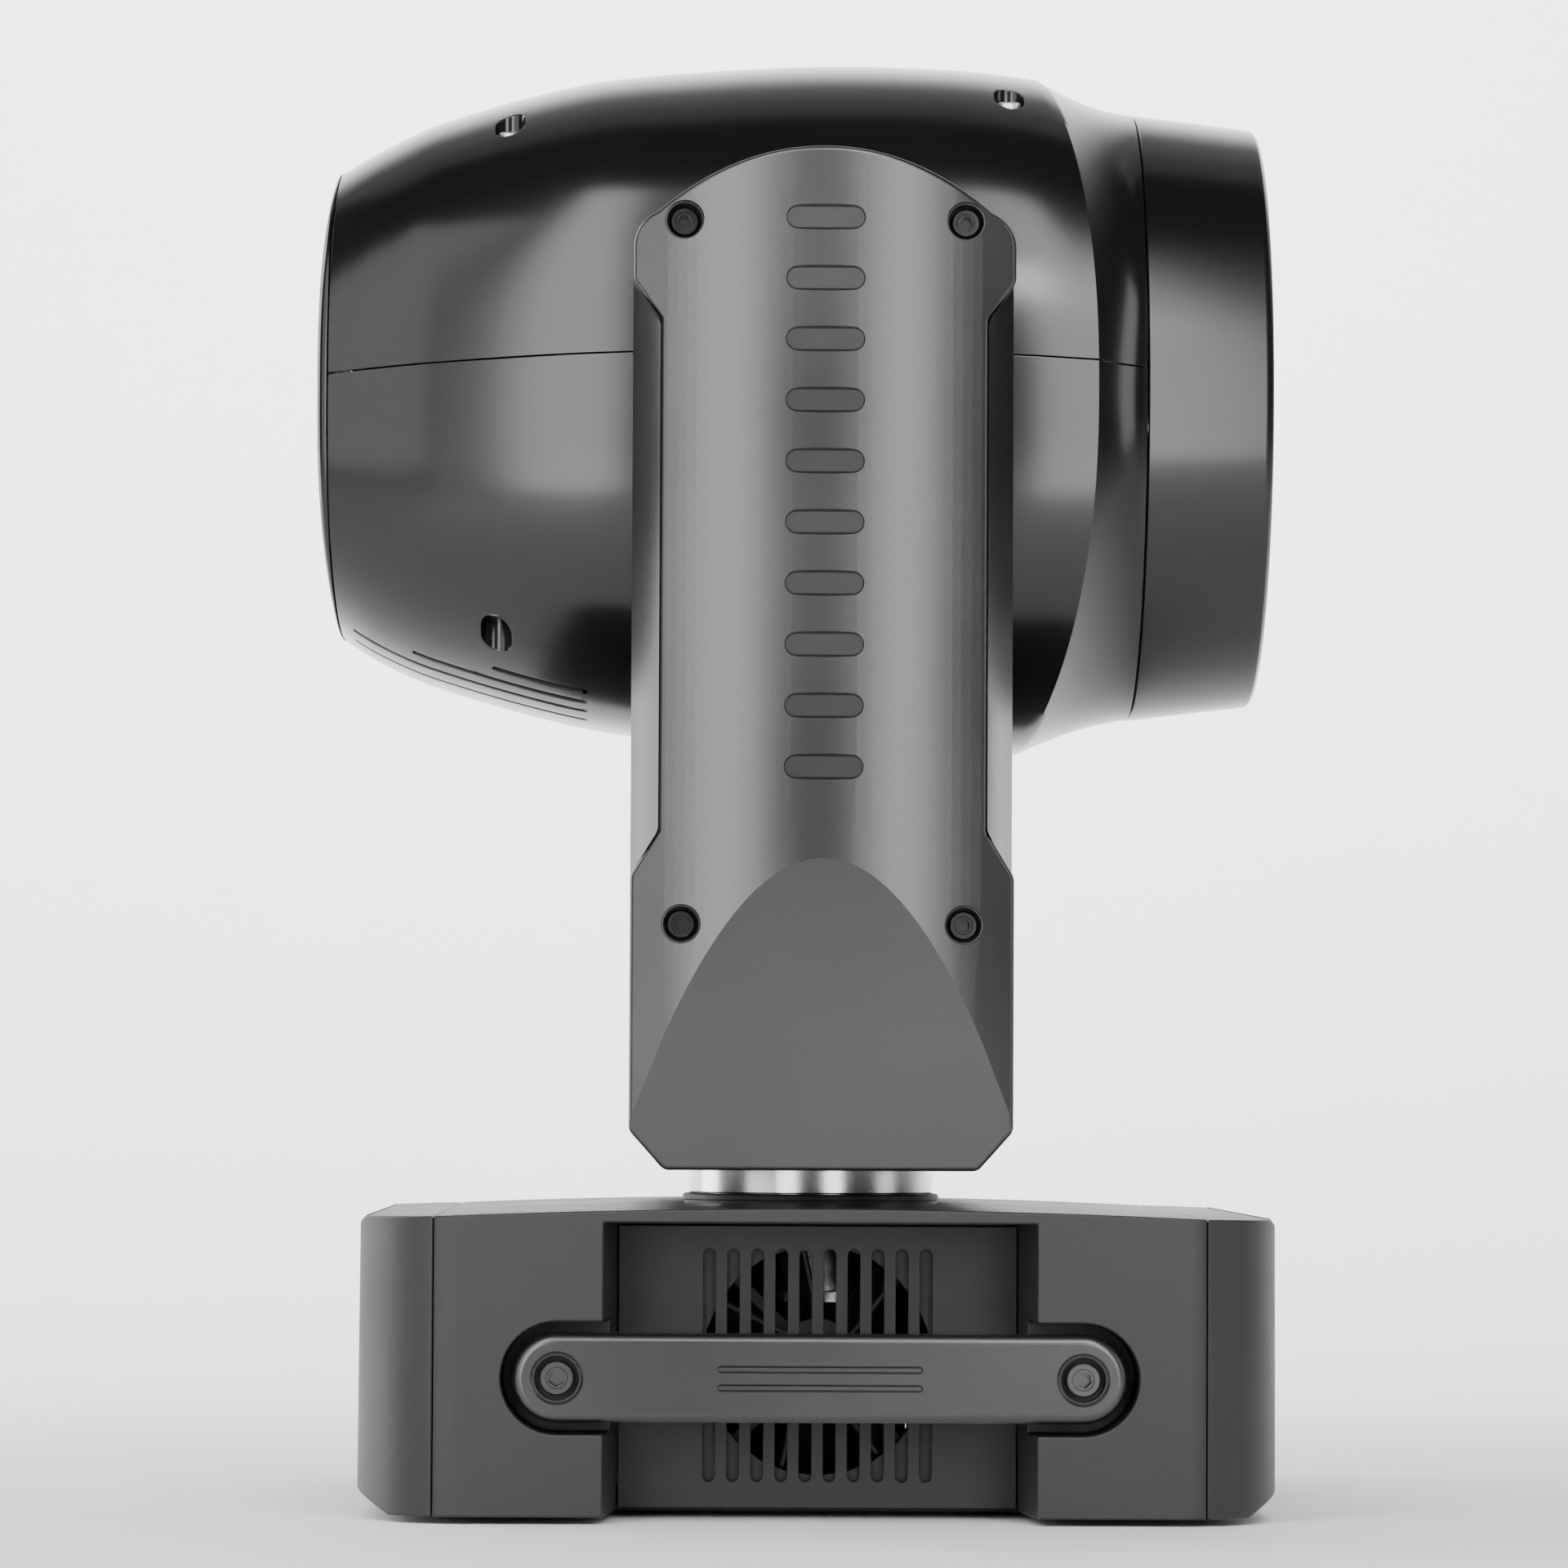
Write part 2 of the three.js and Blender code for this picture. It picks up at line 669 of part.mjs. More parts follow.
// The space between the arms, in the YZ plane, with rounded lower corners.
function yokeGap(grow) {
  const y = ARM_IN + grow;
  const z = CROSSBAR_TOP - grow;
  const r = 22;
  const shape = new THREE.Shape();
  shape.moveTo(y, 420);
  shape.lineTo(-y, 420);
  shape.absarc(r - y, z + r, r, Math.PI, 1.5 * Math.PI, false);
  shape.absarc(y - r, z + r, r, 1.5 * Math.PI, 2 * Math.PI, false);
  shape.closePath();
  return shape;
}

// The U-shaped cover that faces the head: two inner arm skins and the top of the crossbar.
function innerCover() {
  const low = 120;
  const skin = ARM_IN + WALL;
  const block = box([-60, -skin, low + GAP], [60, skin, 420]);
  const outline = prism(armOutline(0), "y", -170, 170, 4);
  const hollow = cut(
    box([WALL - ARM_X, -skin - 1, low - 1], [ARM_X - WALL, skin + 1, 220]),
    prism(yokeGap(WALL), "x", -80, 80, 6),
  );
  const waists = [-1, 1].flatMap((side) => [edgePocket(side, 0), mirrored(edgePocket(side, 0))]);
  const shaftHoles = both((side) => rod("y", [0, TILT_Z], 11, side * 113 - 5, side * 113 + 5));
  const lockSlot = prism(rounded(-3.4, 258, 3.4, 282, 3.39), "y", 105, 120, 6);
  return cut(
    block.intersect(outline),
    prism(yokeGap(0), "x", -80, 80, 6),
    hollow,
    ...waists,
    shaftHoles,
    lockSlot,
  );
}

// The tray under the crossbar, open at both ends.
function bottomCover() {
  const skin = ARM_IN + WALL;
  const section = prism(armOutline(0), "y", -skin, skin);
  const hollow = prism(armOutline(WALL), "y", -skin - 1, skin + 1);
  const tray = section.intersect(box([-60, -skin, 90], [60, skin, 120]));
  return cut(tray, hollow, rod("z", [0, 0], 29, 90, 120));
}

// The steel U inside the yoke: a plate in the crossbar and an upright in each arm.
function yokeFrame() {
  const z = YOKE_Z0 + 4.2;
  const out = FRAME_Y + WALL;
  const plate = box([-34, -out, z], [34, out, z + 4]);
  const leg = (side, low, high) => {
    const [a, b] = side > 0 ? [FRAME_Y, out] : [-out, -FRAME_Y];
    return box([low[0], a, low[1]], [high[0], b, high[1]]);
  };
  const inside = prism(armOutline(WALL + GAP), "y", -170, 170);
  const uprights = both((side) => leg(side, [-46, 134], [46, 378]).intersect(inside));
  const feet = both((side) => leg(side, [-34, z], [34, 150]));
  const screwHoles = [-1, 1].flatMap((side) =>
    ARM_SCREW_Z.map((level) => rod("y", [side * ARM_SCREW_X, level], 2.3, -200, 200, 8)),
  );
  return cut(
    join(plate, uprights, feet),
    rod("z", [0, 0], 13, 90, 120),
    rod("y", [0, TILT_Z], 17.3, -200, 200, 24),
    rod("y", [0, TILT_MOTOR_Z], 12, -130, -100),
    ...screwHoles,
  );
}

function tiltBearing() {
  return turned(
    [
      [10.3, -3],
      [17, -3],
      [17, 3],
      [10.3, 3],
      [10.3, -3],
    ],
    16,
  );
}

function buildYoke() {
  add("pan_hub", panHub(), ALUMINIUM);
  add("yoke_frame", yokeFrame(), DARK_STEEL);
  addPair("arm_cover", armCover(), COVER);
  add("yoke_inner_cover", innerCover(), COVER);
  add("yoke_bottom_cover", bottomCover(), COVER);

  const tiltMotor = add("tilt_motor", motor(38, 34, 16), DARK_STEEL);
  tiltMotor.position.set(0, -FRAME_Y + GAP, TILT_MOTOR_Z);
  tiltMotor.rotation.x = Math.PI / 2;
  const small = add("tilt_motor_pulley", pulley(TILT_SMALL_R, 2.8, 7), ALUMINIUM);
  small.position.set(0, -TILT_BELT_Y, TILT_MOTOR_Z);
  small.rotation.x = Math.PI / 2;
  const loop = belt(TILT_PULLEY_R, TILT_SMALL_R, TILT_Z - TILT_MOTOR_Z, 5);
  const tiltBelt = add("tilt_belt", geometryOf(loop).rotateZ(-Math.PI / 2), RUBBER);
  tiltBelt.position.set(0, -TILT_BELT_Y, TILT_Z);
  tiltBelt.rotation.x = Math.PI / 2;
  for (const [name, side] of [
    ["near", -1],
    ["far", 1],
  ]) {
    const bearing = add(`tilt_bearing_${name}`, tiltBearing(), STEEL);
    bearing.position.set(0, side * (FRAME_Y + 1.5), TILT_Z);
    bearing.rotation.x = Math.PI / 2;
  }
  const knob = prism(rounded(-3, -6, 3, 6, 2.9), "y", -3.4, 1.6, 4);
  const foot = box([-6, 0.4, -10], [6, 1.9, 10]);
  add("tilt_lock", join(knob, foot), BLACK_PLASTIC).position.set(0, ARM_IN + WALL - 0.1, 270);
}

// ---- Head ---------------------------------------------------------------------------------------

// The head's sections along the beam: x, top, bottom, half width and squareness of the ellipse.
// A bulge moves a section's sides along X. The collar at the end runs into the round front ring.
const HEAD_RINGS = [
  { x: -143.2, top: 396.6, bottom: 261.8, half: 75.5, power: 2.7, bulge: -4.3 },
  { x: -142.3, top: 398.5, bottom: 259.2, half: 78.6, power: 2.7, bulge: -2 },
  { x: -131, top: 405.6, bottom: 252, half: 84.4, power: 2.65 },
  { x: -113, top: 414.1, bottom: 244.4, half: 91, power: 2.6 },
  { x: -70.5, top: 426.2, bottom: 232.9, half: 101, power: 2.5 },
  { x: -35, top: 430.5, bottom: 228, half: 104.5, power: 2.4 },
  { x: 0, top: 432.6, bottom: 225.2, half: 105.5, power: 2.4 },
  { x: 37, top: 432.1, bottom: 224.6, half: 105.5, power: 2.4 },
  { x: 62, top: 429.6, bottom: 225.6, half: 104.5, power: 2.3, bulge: 18 },
  { x: 78, top: 424, bottom: 231.8, half: 97, power: 2.1, bulge: 8 },
  { x: 95.8, top: TILT_Z + RING_R, bottom: TILT_Z - RING_R, half: RING_R, power: 2 },
];

function ringPoint(ring, angle, inset, target) {
  const [c, s] = [Math.cos(angle), Math.sin(angle)];
  const curve = (value) => Math.sign(value) * Math.abs(value) ** (2 / ring.power);
  const middle = (ring.top + ring.bottom) / 2;
  const height = (ring.top - ring.bottom) / 2 - inset;
  const x = ring.x + (ring.bulge ?? 0) * c * c;
  return target.set(x, (ring.half - inset) * curve(c), middle + height * curve(s));
}

// The head's outer form, or the hollow inside it, as one closed loft.
function headForm(inset, sides = 32) {
  const last = HEAD_RINGS.length - 1;
  const surface = (u, v, target) => {
    const station = Math.round(v * (last + 2)) - 1;
    const ring = HEAD_RINGS[Math.min(Math.max(station, 0), last)];
    if (station < 0 || station > last) return target.set(ring.x + (ring.bulge ?? 0), 0, TILT_Z);
    return ringPoint(ring, 2 * Math.PI * u, inset, target);
  };
  return solid(new ParametricGeometry(surface, sides, last + 2));
}

// Everything behind the seam of the rear cap, which is bowed like the cap itself.
function behindSeam(gap) {
  const edge = REAR_X + 3.3 - gap;
  const shape = new THREE.Shape();
  shape.moveTo(-200, 241);
  shape.lineTo(edge, 241);
  shape.quadraticCurveTo(REAR_X - 3.3 - gap, 331, edge, 421);
  shape.lineTo(-200, 421);
  shape.closePath();
  return prism(shape, "y", -120, 120, 8);
}

function headShells() {
  const between = cut(box([-160, -120, 200], [RING_X - GAP, 120, 450]), behindSeam(0));
  const throat = turnedX([
    [0, 80],
    [RING_R - 4, 80],
    [RING_R - 4, 110],
    [0, 110],
  ]);
  const hollow = headForm(WALL).add(throat);
  const rearMouth = rod("x", [0, TILT_Z], 50, -160, -130, 36);
  const axleHoles = rod("y", [0, TILT_Z], 10.4, -120, 120);
  const shell = cut(headForm(0).intersect(between), hollow, rearMouth, axleHoles);
  const seam = (low, high) => box([-200, -200, low], [200, 200, high]);
  return {
    top: shell.intersect(seam(PARTING_Z + GAP / 2, 500)),
    bottom: shell.intersect(seam(100, PARTING_Z - GAP / 2)),
  };
}

// The shallow rear cap, with rows of exhaust slots.
function rearGrille() {
  const cap = headForm(0).intersect(behindSeam(GAP));
  const slots = [];
  for (let i = -4; i <= 4; i++) {
    const half = Math.sqrt(48 ** 2 - (i * 10) ** 2);
    const z = TILT_Z + i * 10;
    slots.push(prism(rounded(-half, z - 1.8, half, z + 1.8, 1.79), "x", -160, -130, 1));
  }
  return cut(cap, ...slots);
}

function frontRing() {
  return turnedX([
    [RING_R - 5, RING_X],
    [RING_R, RING_X],
    [NOSE_R, NOSE_X - 1.5],
    [NOSE_R - 1.5, NOSE_X],
    [76, NOSE_X],
    [76, 118],
    [80, 118],
    [80, 104],
    [RING_R - 5, 104],
    [RING_R - 5, RING_X],
  ]);
}

function frontLens() {
  return turnedX([
    [0, 107],
    [79.6, 107],
    [79.6, 117.7],
    [75.4, 117.7],
    [66, 121.6],
    [50, 125.2],
    [34, 127.4],
    [16, 128.6],
    [0, 129],
  ]);
}

const ROD_Y = 60; // guide rods for the two lens carriages
const EFFECTS_X = -54;

// Two side plates, three bulkheads and the guide rods, welded into one frame.
function headChassis() {
  const sides = both((side) => box([-62, side * 87.5 - 1.5, 288], [72, side * 87.5 + 1.5, 366]));
  const bulkhead = (x, half, hole) =>
    cut(
      prism(rounded(-half, 268, half, 387, 10), "x", x, x + 3, 3),
      rod("x", [0, TILT_Z], hole, x - 2, x + 5, 24),
    );
  const rear = bulkhead(-62, 86, 24);
  const middle = bulkhead(EFFECTS_X, 86, 15);
  const front = bulkhead(69, 86, 52);
  const rods = both((side) => rod("x", [side * ROD_Y, TILT_Z], 3, EFFECTS_X, 70, 16));
  const pins = [
    rod("x", [0, TILT_Z - WHEEL_DROP], 2.5, -61, EFFECTS_X + 1, 12),
    rod("x", [0, TILT_Z + WHEEL_DROP], 2.5, EFFECTS_X + 1, -40, 12),
  ];
  return join(sides, rear, middle, front, rods, ...pins);
}

// A finned block: vertical fins on a base plate.
function heatSink() {
  const parts = [box([-90, -46, TILT_Z - 46], [-84, 46, TILT_Z + 46])];
  for (let i = 0; i < 12; i++) {
    const y = -44 + i * 8;
    parts.push(box([-124, y - 1, TILT_Z - 44], [-89, y + 1, TILT_Z + 44]));
  }
  return join(...parts);
}

function ledModule() {
  const board = box([-83.7, -30, TILT_Z - 30], [-81, 30, TILT_Z + 30]);
  const dome = turnedX(
    [
      [0, -82],
      [19, -82],
      [19, -77],
      [13, -71],
      [0, -68],
    ],
    24,
  );
  return join(board, dome);
}

// A filter wheel with its axis along X at the origin, pierced by a ring of apertures.
function filterWheel(count, apertureR, centre) {
  const disc = rod("x", [0, 0], 46, -1, 1, 24);
  const hub = rod("x", [0, 0], 8, -1.8, 1.8, 12);
  const holes = [rod("x", [0, 0], 2.9, -5, 5, 12)];
  for (let i = 1; i < count; i++) {
    const angle = (2 * Math.PI * i) / count + centre;
    const at = [WHEEL_DROP * Math.cos(angle), WHEEL_DROP * Math.sin(angle)];
    holes.push(rod("x", at, apertureR, -3, 3, 8));
  }
  return cut(join(disc, hub), ...holes);
}

// A lens carriage: a ring-shaped holder with its lens, and ears that run on the guide rods.
function carriage(radius) {
  const lens = turned(
    [
      [0, -4],
      [radius - 8, -1.5],
      [radius, -1.5],
      [radius, 1.5],
      [radius - 8, 1.5],
      [0, 4],
    ],
    16,
  );
  const holder = turned(
    [
      [radius - 4, -5],
      [radius + 3, -5],
      [radius + 3, 5],
      [radius - 4, 5],
      [radius - 4, -5],
    ],
    16,
  );
  const ear = box([-5, radius, -5], [5, ROD_Y + 7, 5]);
  const upright = join(lens, holder);
  const turnedOver = solid(geometryOf(upright).rotateY(Math.PI / 2));
  const bores = both((side) => rod("x", [side * ROD_Y, 0], 3.4, -8, 8, 16));
  return cut(join(turnedOver, ear, mirrored(ear)), bores);
}

// A tilt shaft on +Z from the origin: a flange on the chassis, then a hollow journal.
function tiltAxle(length) {
  return turned(
    [
      [5, 0],
      [18, 0],
      [18, 3],
      [10, 3],
      [10, length],
      [5, length],
      [5, 0],
    ],
    16,
  );
}

function tiltPulley(at) {
  const half = 3.5;
  return turned([
    [9, at - half - 1],
    [TILT_PULLEY_R + 1.8, at - half - 1],
    [TILT_PULLEY_R + 1.8, at - half],
    [TILT_PULLEY_R, at - half],
    [TILT_PULLEY_R, at + half],
    [TILT_PULLEY_R + 1.8, at + half],
    [TILT_PULLEY_R + 1.8, at + half + 1],
    [9, at + half + 1],
    [9, at - half - 1],
  ]);
}

function buildHead() {
  const shells = headShells();
  add("head_shell_top", shells.top, HEAD_PLASTIC);
  add("head_shell_bottom", shells.bottom, HEAD_PLASTIC);
  add("head_rear_grille", rearGrille(), HEAD_PLASTIC);
  add("front_ring", frontRing(), HEAD_PLASTIC);
  add("front_lens", frontLens(), GLASS);
  add("head_chassis", headChassis(), STEEL);
  add("heat_sink", heatSink(), ALUMINIUM);
  add("led_module", ledModule(), LED_YELLOW);

  const rotor = add("head_fan_rotor", fanWheel(40, 15, 9, 7), BLACK_PLASTIC);
  rotor.position.set(-133, 0, TILT_Z);
  rotor.rotation.y = Math.PI / 2;
  add("colour_wheel", filterWheel(8, 10, Math.PI / 2), GLASS).position.set(-57, 0, TILT_Z - WHEEL_DROP);
  add("gobo_wheel", filterWheel(8, 9, -Math.PI / 2), STEEL).position.set(-46, 0, TILT_Z + WHEEL_DROP);
  add("zoom_carriage", carriage(34), GLASS).position.set(-8, 0, TILT_Z);
  add("focus_carriage", carriage(40), GLASS).position.set(38, 0, TILT_Z);

  const nearAxle = join(tiltAxle(42), tiltPulley(TILT_BELT_Y - 89.3));
  const near = add("tilt_axle_near", nearAxle, STEEL);
  near.position.set(0, -89.3, TILT_Z);
  near.rotation.x = Math.PI / 2;
  const far = add("tilt_axle_far", tiltAxle(36), STEEL);
  far.position.set(0, 89.3, TILT_Z);
  far.rotation.x = -Math.PI / 2;
}

buildBase();
buildYoke();
buildHead();

export default root;
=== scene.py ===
"""The looks of a compact moving head stage light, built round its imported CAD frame.

Shapes are worked out in millimetres in the frame's own axes: +X along the beam, -Y towards the viewer, +Z up.
They become metres when a mesh is made. Outlines are lists of (u, v) points, and a prism pushes one along
an axis.
"""

import json
import math

import bmesh
import bpy
from mathutils import Matrix, Vector


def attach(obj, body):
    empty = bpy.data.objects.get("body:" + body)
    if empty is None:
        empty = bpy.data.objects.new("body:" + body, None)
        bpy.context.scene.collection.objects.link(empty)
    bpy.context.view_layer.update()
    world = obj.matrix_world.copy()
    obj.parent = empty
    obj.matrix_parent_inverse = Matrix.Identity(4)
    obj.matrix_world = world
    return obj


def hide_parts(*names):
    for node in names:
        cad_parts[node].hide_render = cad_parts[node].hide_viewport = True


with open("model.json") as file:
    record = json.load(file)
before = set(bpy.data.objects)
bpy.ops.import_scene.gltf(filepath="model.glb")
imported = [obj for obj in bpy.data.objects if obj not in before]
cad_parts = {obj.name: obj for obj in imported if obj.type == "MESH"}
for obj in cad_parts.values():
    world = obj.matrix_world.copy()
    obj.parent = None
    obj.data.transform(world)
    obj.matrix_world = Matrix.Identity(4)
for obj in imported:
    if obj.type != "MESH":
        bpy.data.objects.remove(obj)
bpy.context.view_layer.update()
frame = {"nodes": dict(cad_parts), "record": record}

MM = 0.001

# ---- Driving sizes, in millimetres --------------------------------------------------------------

GAP = 0.35
BASE_X, BASE_Y, BASE_Z0 = 132.0, 147.0, 2.0
BASE_TOP, SEAM_TOP, SEAM_X = 89.1, 86.6, 109.2
POCKET_X, POCKET_DRAFT, POCKET_Y, POCKET_TOP = 61.4, 3.8, 110.0, 85.0
HANDLE_Z, HANDLE_R, HANDLE_SCREW_X, HANDLE_BACK = 41.2, 12.5, 74.3, 133.0
RECESS_R, RECESS_Y = 15.9, 127.0
VENT_SLOTS, VENT_PITCH, VENT_R, VENT_LOW, VENT_HIGH = 10, 6.92, 1.75, 10.4, 77.0
BORE_R, BORE_DEPTH, SCREW_HOLE_R = 6.95, 6.4, 3.4
HUB_HOLE_R = 39.5

HUB_R, PAN_PULLEY_R, PAN_SHAFT_R = 36.9, 43.8, 13.0
YOKE_Z0 = 99.8
ARM_X, ARM_TOP, ARM_IN, ARM_OUT, ARM_SAG = 54.5, 389.7, 110.0, 155.0, 12.0
WAIST_X, WAIST_LOW, WAIST_HIGH = 46.6, 195.8, 341.1
SLOPE_Z, SLOPE = 187.9, 0.161
ARM_SCREW_X, ARM_SCREW_LOW, ARM_SCREW_HIGH = 40.0, 169.3, 369.1
ARM_HOLE_R = 5.6
CROSSBAR_TOP, CROSSBAR_FILLET = 152.0, 22.0
TRAY_TOP = 120.0
SKIN = 3.0

TILT_Z = 327.6
REAR_X, REAR_BOW = -144.3, 2.0
RING_X, RING_R = 95.8, 91.9
NOSE_X, NOSE_R = 133.0, 87.5
LENS_R, LENS_CROWN, LENS_SAG, LENS_EDGE_R = 75.8, 129.0, 11.3, 75.4
HEAD_MIDDLE = 331.0
SHELL_WALL, OVAL_R, OVAL_HALF, OVAL_FLOOR = 2.4, 4.4, 6.0, 1.8

# ---- Outlines -----------------------------------------------------------------------------------


def arc(cu, cv, ru, start, end, steps=8, rv=None):
    """Points of an arc or elliptical arc, in degrees."""
    rv = ru if rv is None else rv
    turns = [math.radians(start + (end - start) * i / steps) for i in range(steps + 1)]
    return [(cu + ru * math.cos(a), cv + rv * math.sin(a)) for a in turns]


def curve(first, control, last, steps=12):
    """Points of a quadratic curve, without its first point."""
    points = []
    for i in range(1, steps + 1):
        t = i / steps
        points.append(
            tuple(
                (1 - t) ** 2 * a + 2 * t * (1 - t) * b + t**2 * c
                for a, b, c in zip(first, control, last)
            )
        )
    return points


def rounded(u0, v0, u1, v1, r, steps=6):
    return (
        arc(u1 - r, v0 + r, r, -90, 0, steps)
        + arc(u1 - r, v1 - r, r, 0, 90, steps)
        + arc(u0 + r, v1 - r, r, 90, 180, steps)
        + arc(u0 + r, v0 + r, r, 180, 270, steps)
    )


def circle(u, v, r, steps=40):
    return arc(u, v, r, 0, 360, steps)[:-1]


def capsule(u0, u1, v, r, steps=10):
    """A slot along u with round ends, between its end points."""
    return arc(u1 - r, v, r, -90, 90, steps) + arc(u0 + r, v, r, 90, 270, steps)


def capsule_up(u, v0, v1, r, steps=8):
    return arc(u, v1 - r, r, 0, 180, steps) + arc(u, v0 + r, r, 180, 360, steps)


# ---- Meshes -------------------------------------------------------------------------------------

PLACE = {
    "x": lambda u, v, w: (w, u, v),
    "y": lambda u, v, w: (u, w, v),
    "z": lambda u, v, w: (u, v, w),
}


def piece_from(mesh_data, name):
    """A new object in metres from a bmesh in millimetres."""
    bmesh.ops.scale(mesh_data, vec=(MM, MM, MM), verts=mesh_data.verts)
    bmesh.ops.recalc_face_normals(mesh_data, faces=mesh_data.faces)
    mesh = bpy.data.meshes.new(name)
    mesh_data.to_mesh(mesh)
    mesh_data.free()
    piece = bpy.data.objects.new(name, mesh)
    bpy.context.scene.collection.objects.link(piece)
    return piece


def loft(one, two, axis, low, high, name="tool"):
    """A solid between two outlines of as many points, at two places along an axis."""
    work = bmesh.new()
    place = PLACE[axis]
    rows = [
        [work.verts.new(place(u, v, w)) for u, v in outline]
        for outline, w in ((one, low), (two, high))
    ]
    count = len(one)
    work.faces.new(rows[0])
    work.faces.new(rows[1])
    for i in range(count):
        j = (i + 1) % count
        work.faces.new((rows[0][i], rows[0][j], rows[1][j], rows[1][i]))
    bmesh.ops.remove_doubles(work, verts=work.verts, dist=1e-4)
    return piece_from(work, name)


def prism(outline, axis, low, high, name="tool"):
    return loft(outline, outline, axis, low, high, name)


def block(low, high, name="tool"):
    return prism(
        [(low[0], low[1]), (high[0], low[1]), (high[0], high[1]), (low[0], high[1])],
        "z",
        low[2],
        high[2],
        name,
    )


def lathe(profile, axis, centre, name, sides=96, closed=False):
    """A profile of (radius, place along axis) points turned about an axis through centre."""
    work = bmesh.new()
    rows = []
    for r, w in profile:
        ring = []
        for i in range(sides):
            a = 2 * math.pi * i / sides
            u, v = r * math.cos(a), r * math.sin(a)
            ring.append(work.verts.new(Vector(PLACE[axis](u, v, w)) + Vector(centre)))
        rows.append(ring)
    last = len(rows)
    for k in range(last if closed else last - 1):
        one, two = rows[k], rows[(k + 1) % last]
        for i in range(sides):
            j = (i + 1) % sides
            work.faces.new((one[i], one[j], two[j], two[i]))
    bmesh.ops.remove_doubles(work, verts=work.verts, dist=1e-4)
    bmesh.ops.dissolve_degenerate(work, edges=work.edges, dist=1e-5)
    return piece_from(work, name)


def apply_modifiers(piece):
    bpy.context.view_layer.update()
    graph = bpy.context.evaluated_depsgraph_get()
    mesh = bpy.data.meshes.new_from_object(piece.evaluated_get(graph))
    old = piece.data
    piece.modifiers.clear()
    piece.data = mesh
    bpy.data.meshes.remove(old)
    return piece


def discard(piece):
    mesh = piece.data
    bpy.data.objects.remove(piece)
    bpy.data.meshes.remove(mesh)


def combine(target, operation, *tools):
    for tool in tools:
        step = target.modifiers.new("combine", "BOOLEAN")
        step.operation = operation
        step.solver = "EXACT"
        step.object = tool
        apply_modifiers(target)
        discard(tool)
    return target


def cut(target, *tools):
    return combine(target, "DIFFERENCE", *tools)


def keep(target, *tools):
    return combine(target, "INTERSECT", *tools)


def join(target, *tools):
    return combine(target, "UNION", *tools)


def bevel(piece, width, segments=3, angle=35):
    step = piece.modifiers.new("bevel", "BEVEL")
    step.width = width * MM
    step.segments = segments
    step.limit_method = "ANGLE"
    step.angle_limit = math.radians(angle)
    step.use_clamp_overlap = False
    return apply_modifiers(piece)


def shade(piece, crisp=None):
    """Smooth shading that keeps true edges, and the shallow edges round a flat facing the crisp way."""
    work = bmesh.new()
    work.from_mesh(piece.data)
    bmesh.ops.remove_doubles(work, verts=work.verts, dist=2e-6)
    bmesh.ops.dissolve_degenerate(work, edges=work.edges, dist=1e-6)
    bmesh.ops.holes_fill(work, edges=[edge for edge in work.edges if edge.is_boundary], sides=12)
    for edge in work.edges:
        if len(edge.link_faces) != 2:
            continue
        bend = edge.calc_face_angle(0)
        facing = [crisp is not None and abs(face.normal.dot(crisp)) > 0.9998 for face in edge.link_faces]
        edge.smooth = bend < math.radians(32) and not (any(facing) and bend > 0.03)
    for face in work.faces:
        face.smooth = True
    work.to_mesh(piece.data)
    work.free()
    step = piece.modifiers.new("normals", "WEIGHTED_NORMAL")
    step.keep_sharp = True
    return apply_modifiers(piece)


def copied(piece, name, matrix):
    """A copy whose mesh is moved by a matrix, and turned back outwards if that mirrors it."""
    twin = piece.copy()
    twin.data = piece.data.copy()
    twin.name = twin.data.name = name
    twin.data.transform(matrix)
    if matrix.determinant() < 0:
        twin.data.flip_normals()
    bpy.context.scene.collection.objects.link(twin)
    return twin


HALF_TURN = Matrix.Rotation(math.pi, 4, "Z")

# ---- Materials ----------------------------------------------------------------------------------


def node_tree(name):
    material = bpy.data.materials.new(name)
    material.use_nodes = True
    return material, material.node_tree.nodes, material.node_tree.links


def noise(nodes, links, scale, detail, vector=None):
    field = nodes.new("ShaderNodeTexNoise")
    field.inputs["Scale"].default_value = scale
    field.inputs["Detail"].default_value = detail
    if vector is not None:
        links.new(vector, field.inputs["Vector"])
    return field


def spread(nodes, links, source, low, high, start=0.3, end=0.7):
    """A number that runs from low to high as the source does from start to end."""
    ramp = nodes.new("ShaderNodeMapRange")
    ramp.inputs["From Min"].default_value = start
    ramp.inputs["From Max"].default_value = end
    ramp.inputs["To Min"].default_value = low
    ramp.inputs["To Max"].default_value = high
    links.new(source, ramp.inputs["Value"])
    return ramp.outputs["Result"]


def tinted(nodes, links, source, dark, light):
    ramp = nodes.new("ShaderNodeValToRGB")
    ramp.color_ramp.elements[0].position = 0.3
    ramp.color_ramp.elements[0].color = (*dark, 1)
    ramp.color_ramp.elements[1].position = 0.7
    ramp.color_ramp.elements[1].color = (*light, 1)
    links.new(source, ramp.inputs["Fac"])
    return ramp.outputs["Color"]


